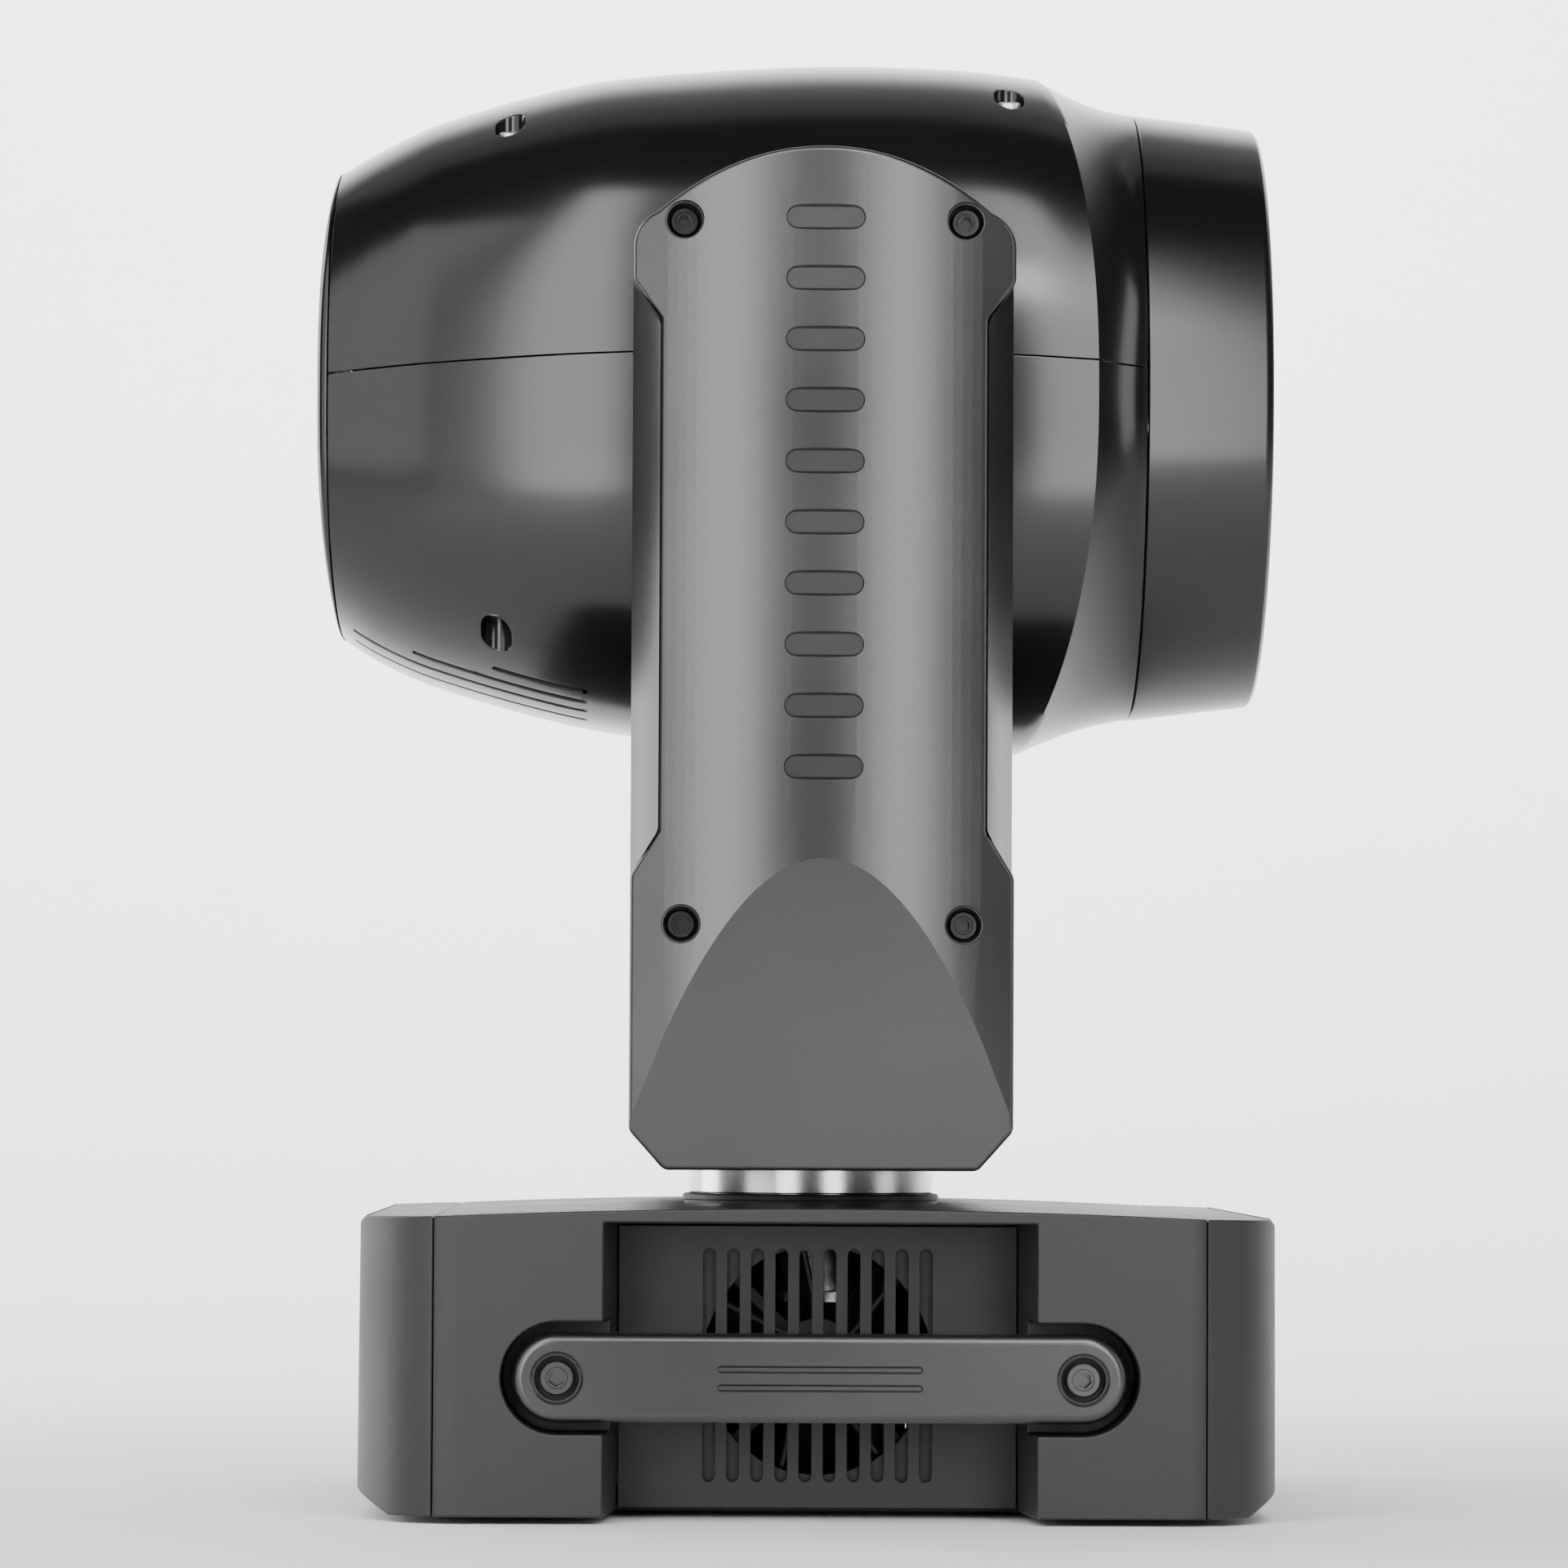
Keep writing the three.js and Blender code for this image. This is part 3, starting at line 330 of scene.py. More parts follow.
def textured(
    name, color, roughness, grain, depth, metallic=0.0, cloud=12.0, vary=0.12, stretch=None, **sockets
):
    """A procedural finish: a fine grain in the bump, cloudy colour, and roughness that varies with the cloud.
    """
    material, nodes, links = node_tree(name)
    shader = nodes["Principled BSDF"]
    place = nodes.new("ShaderNodeTexCoord").outputs["Object"]
    if stretch:
        mapping = nodes.new("ShaderNodeMapping")
        mapping.inputs["Scale"].default_value = stretch
        links.new(place, mapping.inputs["Vector"])
        place = mapping.outputs["Vector"]
    fine = noise(nodes, links, grain, 2.0, place)
    broad = noise(nodes, links, cloud, 3.0, place)
    dark = tuple(c * (1 - vary) for c in color)
    light = tuple(c * (1 + vary) for c in color)
    blend = nodes.new("ShaderNodeMath")
    blend.operation = "MULTIPLY_ADD"
    blend.inputs[1].default_value = 0.5
    links.new(fine.outputs["Fac"], blend.inputs[0])
    half = nodes.new("ShaderNodeMath")
    half.operation = "MULTIPLY"
    half.inputs[1].default_value = 0.5
    links.new(broad.outputs["Fac"], half.inputs[0])
    links.new(half.outputs[0], blend.inputs[2])
    links.new(tinted(nodes, links, blend.outputs[0], dark, light), shader.inputs["Base Color"])
    rough = spread(nodes, links, broad.outputs["Fac"], roughness * 0.92, roughness * 1.08)
    links.new(rough, shader.inputs["Roughness"])
    bump = nodes.new("ShaderNodeBump")
    bump.inputs["Strength"].default_value = 1.0
    bump.inputs["Distance"].default_value = depth * MM
    links.new(fine.outputs["Fac"], bump.inputs["Height"])
    links.new(bump.outputs["Normal"], shader.inputs["Normal"])
    shader.inputs["Metallic"].default_value = metallic
    for socket, value in sockets.items():
        shader.inputs[socket.replace("_", " ")].default_value = value
    return material


def clear_glass(name, color, roughness):
    material, nodes, links = node_tree(name)
    shader = nodes["Principled BSDF"]
    place = nodes.new("ShaderNodeTexCoord").outputs["Object"]
    haze = noise(nodes, links, 30.0, 2.0, place)
    rough = spread(nodes, links, haze.outputs["Fac"], roughness * 0.6, roughness * 1.4)
    links.new(rough, shader.inputs["Roughness"])
    links.new(
        tinted(nodes, links, haze.outputs["Fac"], tuple(c * 0.97 for c in color), color),
        shader.inputs["Base Color"],
    )
    shader.inputs["Transmission Weight"].default_value = 1.0
    shader.inputs["IOR"].default_value = 1.5
    shader.inputs["Coat Weight"].default_value = 0.6
    return material


HEAD_BLACK = textured("head_black", (0.004, 0.004, 0.0043), 0.2, 1800, 0.006, Specular_IOR_Level=0.6)
COVER_GREY = textured("satin_grey", (0.085, 0.0855, 0.087), 0.31, 2600, 0.02, metallic=0.9)
BASE_GREY = textured("base_grey", (0.014, 0.0142, 0.0148), 0.5, 2200, 0.05)
DARK_STEEL = textured("dark_steel", (0.02, 0.02, 0.022), 0.5, 1500, 0.02, metallic=0.5)
BLACK_OXIDE = textured("black_oxide", (0.14, 0.14, 0.145), 0.22, 2500, 0.01, metallic=1.0)
ZINC = textured("bright_zinc", (0.85, 0.85, 0.84), 0.42, 900, 0.01, metallic=1.0)
ALUMINIUM = textured(
    "turned_aluminium", (0.72, 0.73, 0.74), 0.2, 900, 0.01, metallic=1.0, stretch=(1, 1, 12)
)
STEEL = textured("zinc_plate", (0.5, 0.51, 0.52), 0.35, 1200, 0.01, metallic=0.9)
RUBBER = textured("black_rubber", (0.012, 0.012, 0.012), 0.8, 1600, 0.04)
BLACK_PLASTIC = textured("black_plastic", (0.018, 0.018, 0.019), 0.5, 2000, 0.02)
BOARD_GREEN = textured("board_green", (0.02, 0.09, 0.03), 0.45, 700, 0.02)
PHOSPHOR = textured("phosphor", (0.7, 0.55, 0.1), 0.5, 900, 0.01)
SCREEN = textured("screen_glass", (0.008, 0.01, 0.014), 0.08, 600, 0.001, Coat_Weight=1.0)
LENS = clear_glass("lens_glass", (0.93, 0.95, 0.97), 0.02)
FILTERS = clear_glass("filter_glass", (0.75, 0.85, 0.95), 0.05)

CAD_LOOKS = {
    "base_plastic": BASE_GREY,
    "satin_grey": COVER_GREY,
    "head_black": HEAD_BLACK,
    "dark_steel": DARK_STEEL,
    "black_oxide": BLACK_OXIDE,
    "machined_aluminium": ALUMINIUM,
    "bright_steel": STEEL,
    "black_rubber": RUBBER,
    "black_plastic": BLACK_PLASTIC,
    "clear_glass": FILTERS,
    "display_glass": SCREEN,
    "circuit_board": BOARD_GREEN,
    "led_phosphor": PHOSPHOR,
}


def dress(piece, material):
    piece.data.materials.clear()
    piece.data.materials.append(material)
    return piece


def place_piece(piece, material, body, slot, *nodes, crisp=None):
    """Shades and dresses a piece, puts it on its body, and lets it stand for the CAD nodes named."""
    shade(piece, crisp)
    dress(piece, material)
    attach(piece, body)
    if nodes:
        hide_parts(*nodes)
    return piece


def dress_cad():
    slots = {part["node"]: part["material_slot"] for part in frame["record"]["subparts"]}
    for node, piece in frame["nodes"].items():
        for i in range(len(piece.material_slots)):
            piece.material_slots[i].material = CAD_LOOKS[slots[node]]


BASE_SHELLS = ["base_shell_near", "base_shell_far"]

# ---- Base ---------------------------------------------------------------------------------------


def base_plan(inset=0.0):
    x, y = BASE_X - inset, BASE_Y - inset
    a, b = 30 - inset, 45 - inset
    return (
        arc(x - a, b - y, a, -90, 0, 20, b)
        + arc(x - a, y - b, a, 0, 90, 20, b)
        + arc(a - x, y - b, a, 90, 180, 20, b)
        + arc(a - x, b - y, a, 180, 270, 20, b)
    )


def base_profile():
    side = [
        (BASE_X - 10, BASE_Z0),
        (BASE_X, BASE_Z0 + 6),
        (BASE_X - 0.8, SEAM_TOP - 1.8),
        (BASE_X - 2.6, SEAM_TOP - 0.3),
        (SEAM_X, SEAM_TOP),
    ]
    arch = curve((SEAM_X, SEAM_TOP), (0, 2 * BASE_TOP - SEAM_TOP), (-SEAM_X, SEAM_TOP), 24)
    return side + arch + [(-u, v) for u, v in reversed(side[:-1])]


def base_form(x0, x1, name):
    form = prism(base_plan(), "z", BASE_Z0 - 1, BASE_TOP + 1, name)
    keep(form, prism(base_profile(), "y", -BASE_Y - 1, BASE_Y + 1))
    return keep(form, block((x0, -200, 0), (x1, 200, 100)))


def pocket_plan(grow):
    x = POCKET_X + grow
    back = -POCKET_Y - 0.02 + (SKIN if grow else 0)
    return [(-x, -BASE_Y - 1), (x, -BASE_Y - 1), (x - POCKET_DRAFT, back), (POCKET_DRAFT - x, back)]


def pocket_tools(side, grow=0.0):
    """The handle pocket and the rounded recess round the handle's ends, on one side of the base."""
    plan = pocket_plan(grow)
    if side > 0:
        plan = [(-u, -v) for u, v in plan]
    reach = HANDLE_SCREW_X + RECESS_R + grow
    recess = capsule(-reach, reach, HANDLE_Z, RECESS_R + grow, 20)
    ends = sorted((side * (BASE_Y + 1), side * (RECESS_Y - grow)))
    return [prism(plan, "z", BASE_Z0 - 2, POCKET_TOP + grow * 0.8), prism(recess, "y", *ends)]


def build_base_shells():
    shell = base_form(GAP / 2 - SEAM_X, SEAM_X - GAP / 2, "base_cover")
    keep(shell, block((-200, -200, 0), (200, -GAP / 2, 100)))
    hollow = block((-SEAM_X - 1, SKIN - BASE_Y, 0), (SEAM_X + 1, 1, SEAM_TOP - SKIN))
    cut(hollow, *pocket_tools(-1, SKIN))
    cut(shell, hollow, *pocket_tools(-1))
    x = POCKET_X - POCKET_DRAFT
    cut(shell, block((-x, -POCKET_Y - 1, 0), (x, SKIN + 1 - POCKET_Y, POCKET_TOP - 1)))
    cut(shell, prism(circle(0, 0, HUB_HOLE_R, 72), "z", 70, 100))
    bevel(shell, 0.7)
    far = copied(shell, "base_cover_back", HALF_TURN)
    shell.name = shell.data.name = "base_cover_front"
    place_piece(shell, BASE_GREY, "base", "base_plastic", BASE_SHELLS[0])
    place_piece(far, BASE_GREY, "base", "base_plastic", *BASE_SHELLS[1:])


def end_cap(side, name):
    """A hollow end cap, with a tongue that reaches under the middle cover and closes the seam."""
    seam = SEAM_X + GAP / 2

    def slice_of(inset, near, far, low, high):
        x0, x1 = sorted((side * near, side * far))
        return keep(prism(base_plan(inset), "z", low, high), block((x0, -200, low), (x1, 200, high)))

    x0, x1 = sorted((side * seam, side * (BASE_X + 1)))
    cap = bevel(base_form(x0, x1, name), 0.8)
    join(cap, slice_of(3.4, SEAM_X - 4, seam + 2, BASE_Z0 + 0.4, SEAM_TOP - SKIN - 0.8))
    cut(cap, slice_of(5.4, SEAM_X - 6, seam + 6.1, -1, SEAM_TOP - SKIN - 3))
    return cut(cap, slice_of(SKIN, seam + 6, BASE_X - 7, -1, SEAM_TOP - SKIN - 3))


PANEL_X, PANEL_Y, PANEL_LOW, PANEL_HIGH = BASE_X - 3.2, 84.0, 17.0, 73.0
BUTTONS = [(28, 55), (52, 55), (28, 34), (52, 34)]
SOCKETS = {"power_inlet": -62, "power_outlet": -22, "data_in": 22, "data_out": 62}
SOCKET_Z = 45.0


def build_control_end():
    cap = end_cap(1, "base_control_end")
    cut(cap, prism(rounded(-PANEL_Y, PANEL_LOW, PANEL_Y, PANEL_HIGH, 5), "x", PANEL_X, BASE_X + 2))
    cut(cap, prism(rounded(-69, 24, 1, 66, 2), "x", PANEL_X - 8, BASE_X))
    for y, z in BUTTONS:
        cut(cap, prism(circle(y, z, 5.4), "x", PANEL_X - 8, BASE_X))
    return place_piece(cap, BASE_GREY, "base", "base_plastic", "base_end_front")


def build_connector_end():
    cap = end_cap(-1, "base_connector_end")
    cut(cap, prism(rounded(-PANEL_Y, PANEL_LOW, PANEL_Y, PANEL_HIGH, 5), "x", -BASE_X - 2, -PANEL_X))
    for y in SOCKETS.values():
        cut(cap, prism(circle(y, SOCKET_Z, 12, 48), "x", -BASE_X, 8 - PANEL_X))
    return place_piece(cap, BASE_GREY, "base", "base_plastic", "base_end_rear")


def build_vent_panels():
    x = POCKET_X - POCKET_DRAFT - GAP
    panel = block((-x, -POCKET_Y, BASE_Z0 + 1), (x, SKIN - POCKET_Y, POCKET_TOP - 1.4), "vent_panel")
    for i in range(VENT_SLOTS):
        u = (i - (VENT_SLOTS - 1) / 2) * VENT_PITCH
        cut(panel, prism(capsule_up(u, VENT_LOW, VENT_HIGH, VENT_R), "y", -120, -100))
    bevel(panel, 0.35, 2)
    far = copied(panel, "vent_panel_back", HALF_TURN)
    panel.name = panel.data.name = "vent_panel_front"
    place_piece(panel, BASE_GREY, "base", "base_plastic", "vent_panel_near")
    place_piece(far, BASE_GREY, "base", "base_plastic", "vent_panel_far")


def build_handles():
    reach = HANDLE_SCREW_X + HANDLE_R
    bar = prism(capsule(-reach, reach, HANDLE_Z, HANDLE_R, 24), "y", -BASE_Y, -HANDLE_BACK, "grip_bar")
    bevel(bar, 2.6, 6)
    for side in (-1, 1):
        x = side * HANDLE_SCREW_X
        post = circle(x, HANDLE_Z, HANDLE_R - 0.6, 48)
        join(bar, prism(post, "y", -HANDLE_BACK - 1, -RECESS_Y - 0.3))
        wide, narrow = (circle(x, HANDLE_Z, r, 48) for r in (8.1, 6.9))
        mouth = loft(wide, narrow, "y", -BASE_Y - 0.5, 0.7 - BASE_Y)
        cut(bar, mouth, prism(circle(x, HANDLE_Z, BORE_R, 48), "y", -BASE_Y - 1, BORE_DEPTH - BASE_Y))
        cut(bar, prism(circle(x, HANDLE_Z, SCREW_HOLE_R, 32), "y", -BASE_Y - 1, 1 - RECESS_Y))
    for v in (-2.6, 2.6):
        wide, narrow = (capsule(-28 - r, 28 + r, HANDLE_Z + v, r, 6) for r in (1.6, 0.5))
        cut(bar, loft(wide, narrow, "y", -BASE_Y - 0.5, 0.6 - BASE_Y))
    far = copied(bar, "grip_bar_back", HALF_TURN)
    bar.name = bar.data.name = "grip_bar_front"
    face = Vector((0, 1, 0))
    place_piece(bar, COVER_GREY, "base", "satin_grey", "handle_near", crisp=face)
    place_piece(far, COVER_GREY, "base", "satin_grey", "handle_far", crisp=face)


def socket_screw(name, head_r, head_h, shank_r, length, sides=48):
    """A hexagon socket screw standing on +Z, with the top of its head at the origin."""
    profile = [
        (0, -head_h - length),
        (shank_r, -head_h - length),
        (shank_r, -head_h),
        (head_r, -head_h),
        (head_r, -0.5),
        (head_r - 0.5, 0),
        (head_r * 0.62, 0),
        (head_r * 0.58, -0.25),
        (0, -0.25),
    ]
    screw = lathe(profile, "z", (0, 0, 0), name, sides)
    hexagon = arc(0, 0, head_r * 0.5, 0, 360, 6)[:-1]
    return cut(screw, prism(hexagon, "z", -head_h * 0.6, 1))


def painted_shade_cup(name, r, depth, lip=0.0):
    """A black lining in a screw's recess, which paints the shade inside it, standing like the screw with its
    mouth at the origin.
    """
    profile = [(0, -depth), (r, -depth), (r, lip), (r - 0.5, lip), (r - 0.5, 0.5 - depth), (0, 0.5 - depth)]
    return lathe(profile, "z", (0, 0, 0), name, 48)


def build_handle_screws():
    places = [(-HANDLE_SCREW_X, -1), (HANDLE_SCREW_X, -1), (HANDLE_SCREW_X, 1), (-HANDLE_SCREW_X, 1)]
    for number, (x, side) in enumerate(places, 1):
        screw = socket_screw(f"grip_screw_{number}", 5, 6, 3, 24)
        # The cup is a black liner inside the bore that is already cut, painted shade for the deep ring round
        # the screw head.
        cup = painted_shade_cup(f"grip_screw_cup_{number}", 6.9, 5.3)
        turn = Matrix.Rotation(-side * math.pi / 2, 4, "X") @ Matrix.Rotation(0.4 * number, 4, "Z")
        for part, sink in ((screw, 0.3), (cup, 1.0)):
            centre = Vector((x, side * (BASE_Y - sink), HANDLE_Z)) * MM
            part.data.transform(Matrix.Translation(centre) @ turn)
        place_piece(screw, BLACK_OXIDE, "base", "black_oxide", f"handle_screw_{number}")
        place_piece(cup, BLACK_PLASTIC, "base", "black_plastic")


# ---- Yoke ---------------------------------------------------------------------------------------


def build_neck():
    """The turned hub with its belt pulley, and the black collar round its foot."""
    top, z = YOKE_Z0 - 0.3, BASE_TOP
    bore, rim = PAN_SHAFT_R, PAN_PULLEY_R
    hub = [(bore, 14), (20, 14), (20, 49), (rim, 49), (rim, 51), (rim - 1.8, 51), (rim - 1.8, 61), (rim, 61)]
    hub += [(rim, 63), (HUB_R - 2, 63), (HUB_R - 2, z + 2.8), (HUB_R - 0.5, z + 2.8), (HUB_R, z + 3.2)]
    hub += [(HUB_R, top - 0.6), (HUB_R - 0.5, top), (28, top), (28, top + 4), (bore, top + 4)]
    hub = lathe(hub, "z", (0, 0, 0), "neck_hub", 128, True)
    place_piece(hub, ALUMINIUM, "yoke", "machined_aluminium", "pan_hub")
    collar = [(HUB_R - 1.9, z - 4), (HUB_R + 1.3, z - 4), (HUB_R + 1.3, z + 0.6), (HUB_R + 1.8, z + 0.9)]
    collar += [(HUB_R + 1.8, z + 2.2), (HUB_R + 1.2, z + 2.7), (HUB_R - 1.9, z + 2.7)]
    collar = lathe(collar, "z", (0, 0, 0), "neck_collar", 128, True)
    place_piece(collar, BLACK_PLASTIC, "yoke", "black_plastic")


def arm_outline(inset=0.0):
    x, z = ARM_X - inset, YOKE_Z0 + inset
    right = [(x - 10, z), (x, z + 11.3), (x, 362 - inset)]
    right += curve((x, 362 - inset), (x, 369 - inset), (x - 7, 372 - inset), 8)
    right += curve((x - 7, 372 - inset), (x - 29, ARM_TOP - inset), (0, ARM_TOP - inset), 16)
    return right + [(-u, v) for u, v in reversed(right[:-1])]


def arm_fall(x):
    return ARM_SAG * (x / ARM_X) ** 2


def arm_section(inset=0.0):
    """An arm seen from above. Its facets meet the dome's corners, so that no sliver is left to bevel."""
    crown, wide = ARM_OUT - inset, ARM_X + 1
    columns = sorted({u for u, v in arm_outline(inset) if v > 372 and abs(u) < 45.5 - inset})
    columns = [-wide, *columns, wide]
    return [(wide, -100), (-wide, -100)] + [(u, arm_fall(u) - crown) for u in columns]


def edge_pocket(side, inset=0.0):
    x = WAIST_X - inset
    far = ARM_X + 6
    rise = (far - x) * 1.6
    outline = [
        (side * x, WAIST_LOW - inset),
        (side * far, WAIST_LOW - inset - rise),
        (side * far, WAIST_HIGH + inset + rise * 0.9),
        (side * x, WAIST_HIGH + inset),
    ]
    lean = [(side * x, -146), (side * far, -117), (side * far, -170), (side * x, -170)]
    return keep(prism(outline, "y", -171, -99), prism(lean, "z", 120, 400))


def arm_form(inset, name="tool"):
    low = 60.0
    face = -ARM_OUT + inset
    slab = [(face, 420), (face, SLOPE_Z), (face + SLOPE * (SLOPE_Z - low), low), (-99.5, low), (-99.5, 420)]
    form = prism(arm_outline(inset), "y", -171, -99, name)
    keep(form, prism(arm_section(inset), "z", 50, 419))
    keep(form, prism(slab, "x", -81, 81))
    return cut(form, edge_pocket(-1, inset), edge_pocket(1, inset))


ARM_SCREWS = [(x, z) for x in (-ARM_SCREW_X, ARM_SCREW_X) for z in (ARM_SCREW_LOW, ARM_SCREW_HIGH)]
GROOVES, GROOVE_LOW, GROOVE_HIGH = 10, 205.0, 378.0
LOWER_FACE = Vector((0, -1, -SLOPE)).normalized()


def build_arm_covers():
    cover = arm_form(0, "arm_cover")
    bevel(cover, 1.3, 4, 28)
    cut(cover, block((-60, -ARM_IN - SKIN - GAP, 90), (60, -90, 420)))
    cut(cover, arm_form(SKIN))
    for x, z in ARM_SCREWS:
        cut(cover, prism(circle(x, z, ARM_HOLE_R, 48), "y", -170, -110))
    pitch = (GROOVE_HIGH - GROOVE_LOW) / GROOVES
    for i in range(GROOVES):
        z = GROOVE_LOW + pitch * (i + 0.5)
        wide, narrow = (capsule(-r - 8, r + 8, z, r, 10) for r in (3.9, 2.9))
        cut(cover, loft(wide, narrow, "y", -ARM_OUT - 0.3, -ARM_OUT + 1.0))
    far = copied(cover, "arm_cover_back", HALF_TURN)
    cover.name = cover.data.name = "arm_cover_front"
    place_piece(cover, COVER_GREY, "yoke", "satin_grey", "arm_cover_near", crisp=LOWER_FACE)
    place_piece(far, COVER_GREY, "yoke", "satin_grey", "arm_cover_far", crisp=HALF_TURN @ LOWER_FACE)

    face = -ARM_OUT + arm_fall(ARM_SCREW_X)
    for number, (x, z) in enumerate(ARM_SCREWS, 1):
        # The cup closes the recess behind the cover's hole; it is black to paint the shade inside the recess.
        cup = painted_shade_cup(f"arm_screw_cup_{number}", 5.5, 5.4, 1.4)
        screw = socket_screw(f"arm_screw_{number}", 4.2, 3.6, 2, 8)
        for part, sink, material, slot in (
            (cup, 3.2, BLACK_PLASTIC, "black_plastic"),
            (screw, 4.4, BLACK_OXIDE, "black_oxide"),
        ):
            spin = Matrix.Rotation(math.pi / 2, 4, "X") @ Matrix.Rotation(0.5 * number, 4, "Z")
            part.data.transform(Matrix.Translation((x * MM, (face + sink) * MM, z * MM)) @ spin)
            twin = copied(part, part.name + "_back", HALF_TURN)
            place_piece(part, material, "yoke", slot)
            place_piece(twin, material, "yoke", slot)


def yoke_gap(grow=0.0):
    """The U between the arms, seen along the beam."""
    y, z, r = ARM_IN + grow, CROSSBAR_TOP - grow, CROSSBAR_FILLET
    return [(y, 420), (-y, 420)] + arc(r - y, z + r, r, 180, 270, 16) + arc(y - r, z + r, r, 270, 360, 16)


def build_inner_cover():
    skin = ARM_IN + SKIN
    cover = prism(arm_outline(), "y", -skin, skin, "yoke_inner_skin")
    keep(cover, block((-60, -skin - 1, TRAY_TOP + GAP), (60, skin + 1, 420)))
    for side in (-1, 1):
        pocket = edge_pocket(side)
        cut(cover, copied(pocket, "tool", HALF_TURN))
        cut(cover, pocket)
    cut(cover, prism(yoke_gap(), "x", -80, 80))
    bevel(cover, 1.0, 3)
    hollow = block((SKIN - ARM_X, -skin - 2, 110), (ARM_X - SKIN, skin + 2, 220))
    cut(hollow, prism(yoke_gap(SKIN), "x", -80, 80))
    cut(cover, hollow)
    for side in (-1, 1):
        ends = sorted((side * 106, side * 118))
        cut(cover, prism(circle(0, TILT_Z, 11, 48), "y", *ends))
    cut(cover, prism(capsule_up(0, 258, 282, 3.4), "y", 105, 120))
    bevel(cover, 0.25, 2, 50)
    return place_piece(cover, COVER_GREY, "yoke", "satin_grey", "yoke_inner_cover")


def build_bottom_cover():
    skin = ARM_IN + SKIN
    tray = prism(arm_outline(), "y", -skin, skin, "yoke_tray")
    keep(tray, block((-60, -skin - 1, 90), (60, skin + 1, TRAY_TOP)))
    bevel(tray, 0.8, 3)
    cut(tray, prism(arm_outline(SKIN), "y", -skin - 2, skin + 2))
    cut(tray, prism(circle(0, 0, 29, 72), "z", 90, TRAY_TOP))
    return place_piece(tray, COVER_GREY, "yoke", "satin_grey", "yoke_bottom_cover")


# ---- Head ---------------------------------------------------------------------------------------

# The head's sections along the beam: x, top, bottom, half width, squareness.
HEAD_STATIONS = [
    (-144.3, 397.6, 260.4, 78.6, 2.7),
    (-131.0, 405.6, 252.0, 84.4, 2.65),
    (-113.0, 414.1, 244.4, 91.0, 2.6),
    (-70.5, 426.2, 232.9, 101.0, 2.5),
    (-35.0, 430.5, 228.0, 104.5, 2.4),
    (0.0, 432.4, 225.2, 105.5, 2.4),
    (37.0, 431.9, 224.8, 105.5, 2.4),
    (62.0, 429.6, 225.4, 105.0, 2.35),
    (84.0, 425.6, 227.0, 103.0, 2.3),
]


def station_at(x):
    """The head's section at x, from a smooth curve through the stations."""
    rows = HEAD_STATIONS
    x = min(max(x, rows[0][0]), rows[-1][0])
    k = max(i for i in range(len(rows) - 1) if rows[i][0] <= x)
    before, one, two, after = rows[max(k - 1, 0)], rows[k], rows[k + 1], rows[min(k + 2, len(rows) - 1)]
    span = two[0] - one[0]
    t = (x - one[0]) / span
    values = []
    for c in range(1, 5):
        m1 = (two[c] - before[c]) / (two[0] - before[0]) * span
        m2 = (after[c] - one[c]) / (after[0] - one[0]) * span
        a = 2 * t**3 - 3 * t**2 + 1
        b = t**3 - 2 * t**2 + t
        values.append(a * one[c] + b * m1 + (1 - a) * two[c] + (t**3 - t**2) * m2)
    return values


def section_point(x, turn, inset=0.0):
    top, bottom, half, power = station_at(x)
    c, s = math.cos(turn), math.sin(turn)
    middle, height = (top + bottom) / 2, (top - bottom) / 2 - inset
    y = (half - inset) * math.copysign(abs(c) ** (2 / power), c)
    z = middle + height * math.copysign(abs(s) ** (2 / power), s)
    return Vector((x, y, z))


def rear_x(turn):
    """The rear cap's seam, which is bowed backwards at the sides."""
    return REAR_X + REAR_BOW * math.sin(turn) ** 2


def crease_x(turn):
    """Where the body ends and the flared collar begins: furthest forward at the sides."""
    side = math.cos(turn) ** 2
    end = 64.0 if math.sin(turn) > 0 else 62.0
    return end + (80.5 - end) * side**0.75


def parting_z(x):
    return 337.0 - 3.2 * ((x + 5) / 110) ** 2


def parting_turn(x, shift):
    top, bottom, half, power = station_at(x)
    middle, height = (top + bottom) / 2, (top - bottom) / 2
    rise = (parting_z(x) + shift - middle) / height
    return math.asin(math.copysign(abs(rise) ** (power / 2), rise))


BODY_ROWS, COLLAR_ROWS, HEAD_COLUMNS = 60, 16, 110


def shell_patch(upper, name):
    """The outer surface of one head shell, from the rear seam over the crease to the ring seam."""
    work = bmesh.new()
    grid = []
    shift = GAP / 2 if upper else -GAP / 2
    for k in range(BODY_ROWS + COLLAR_ROWS + 1):
        row = []
        for i in range(HEAD_COLUMNS + 1):
            share = i / HEAD_COLUMNS
            body_share = min(k / BODY_ROWS, 1)
            guess = REAR_X + (75 - REAR_X) * body_share
            start = parting_turn(guess, shift)
            low, high = (start, math.pi - start) if upper else (math.pi - start, 2 * math.pi + start)
            turn = low + (high - low) * share
            x = rear_x(turn) + (crease_x(turn) - rear_x(turn)) * body_share
            point = section_point(x, turn)
            if k > BODY_ROWS:
                s = (k - BODY_ROWS) / COLLAR_ROWS
                rim_turn = math.atan2(point.z - TILT_Z, point.y)
                rim = Vector((0, math.cos(rim_turn), math.sin(rim_turn))) * RING_R
                rim += Vector((RING_X - GAP, 0, TILT_Z))
                ease = 1 - (1 - s) ** 1.5
                point = Vector(
                    (
                        point.x + (rim.x - point.x) * s,
                        point.y + (rim.y - point.y) * ease,
                        point.z + (rim.z - point.z) * ease,
                    )
                )
            row.append(work.verts.new(point))
        grid.append(row)
    for one, two in zip(grid, grid[1:]):
        for i in range(HEAD_COLUMNS):
            work.faces.new((one[i], one[i + 1], two[i + 1], two[i]))
    return piece_from(work, name)


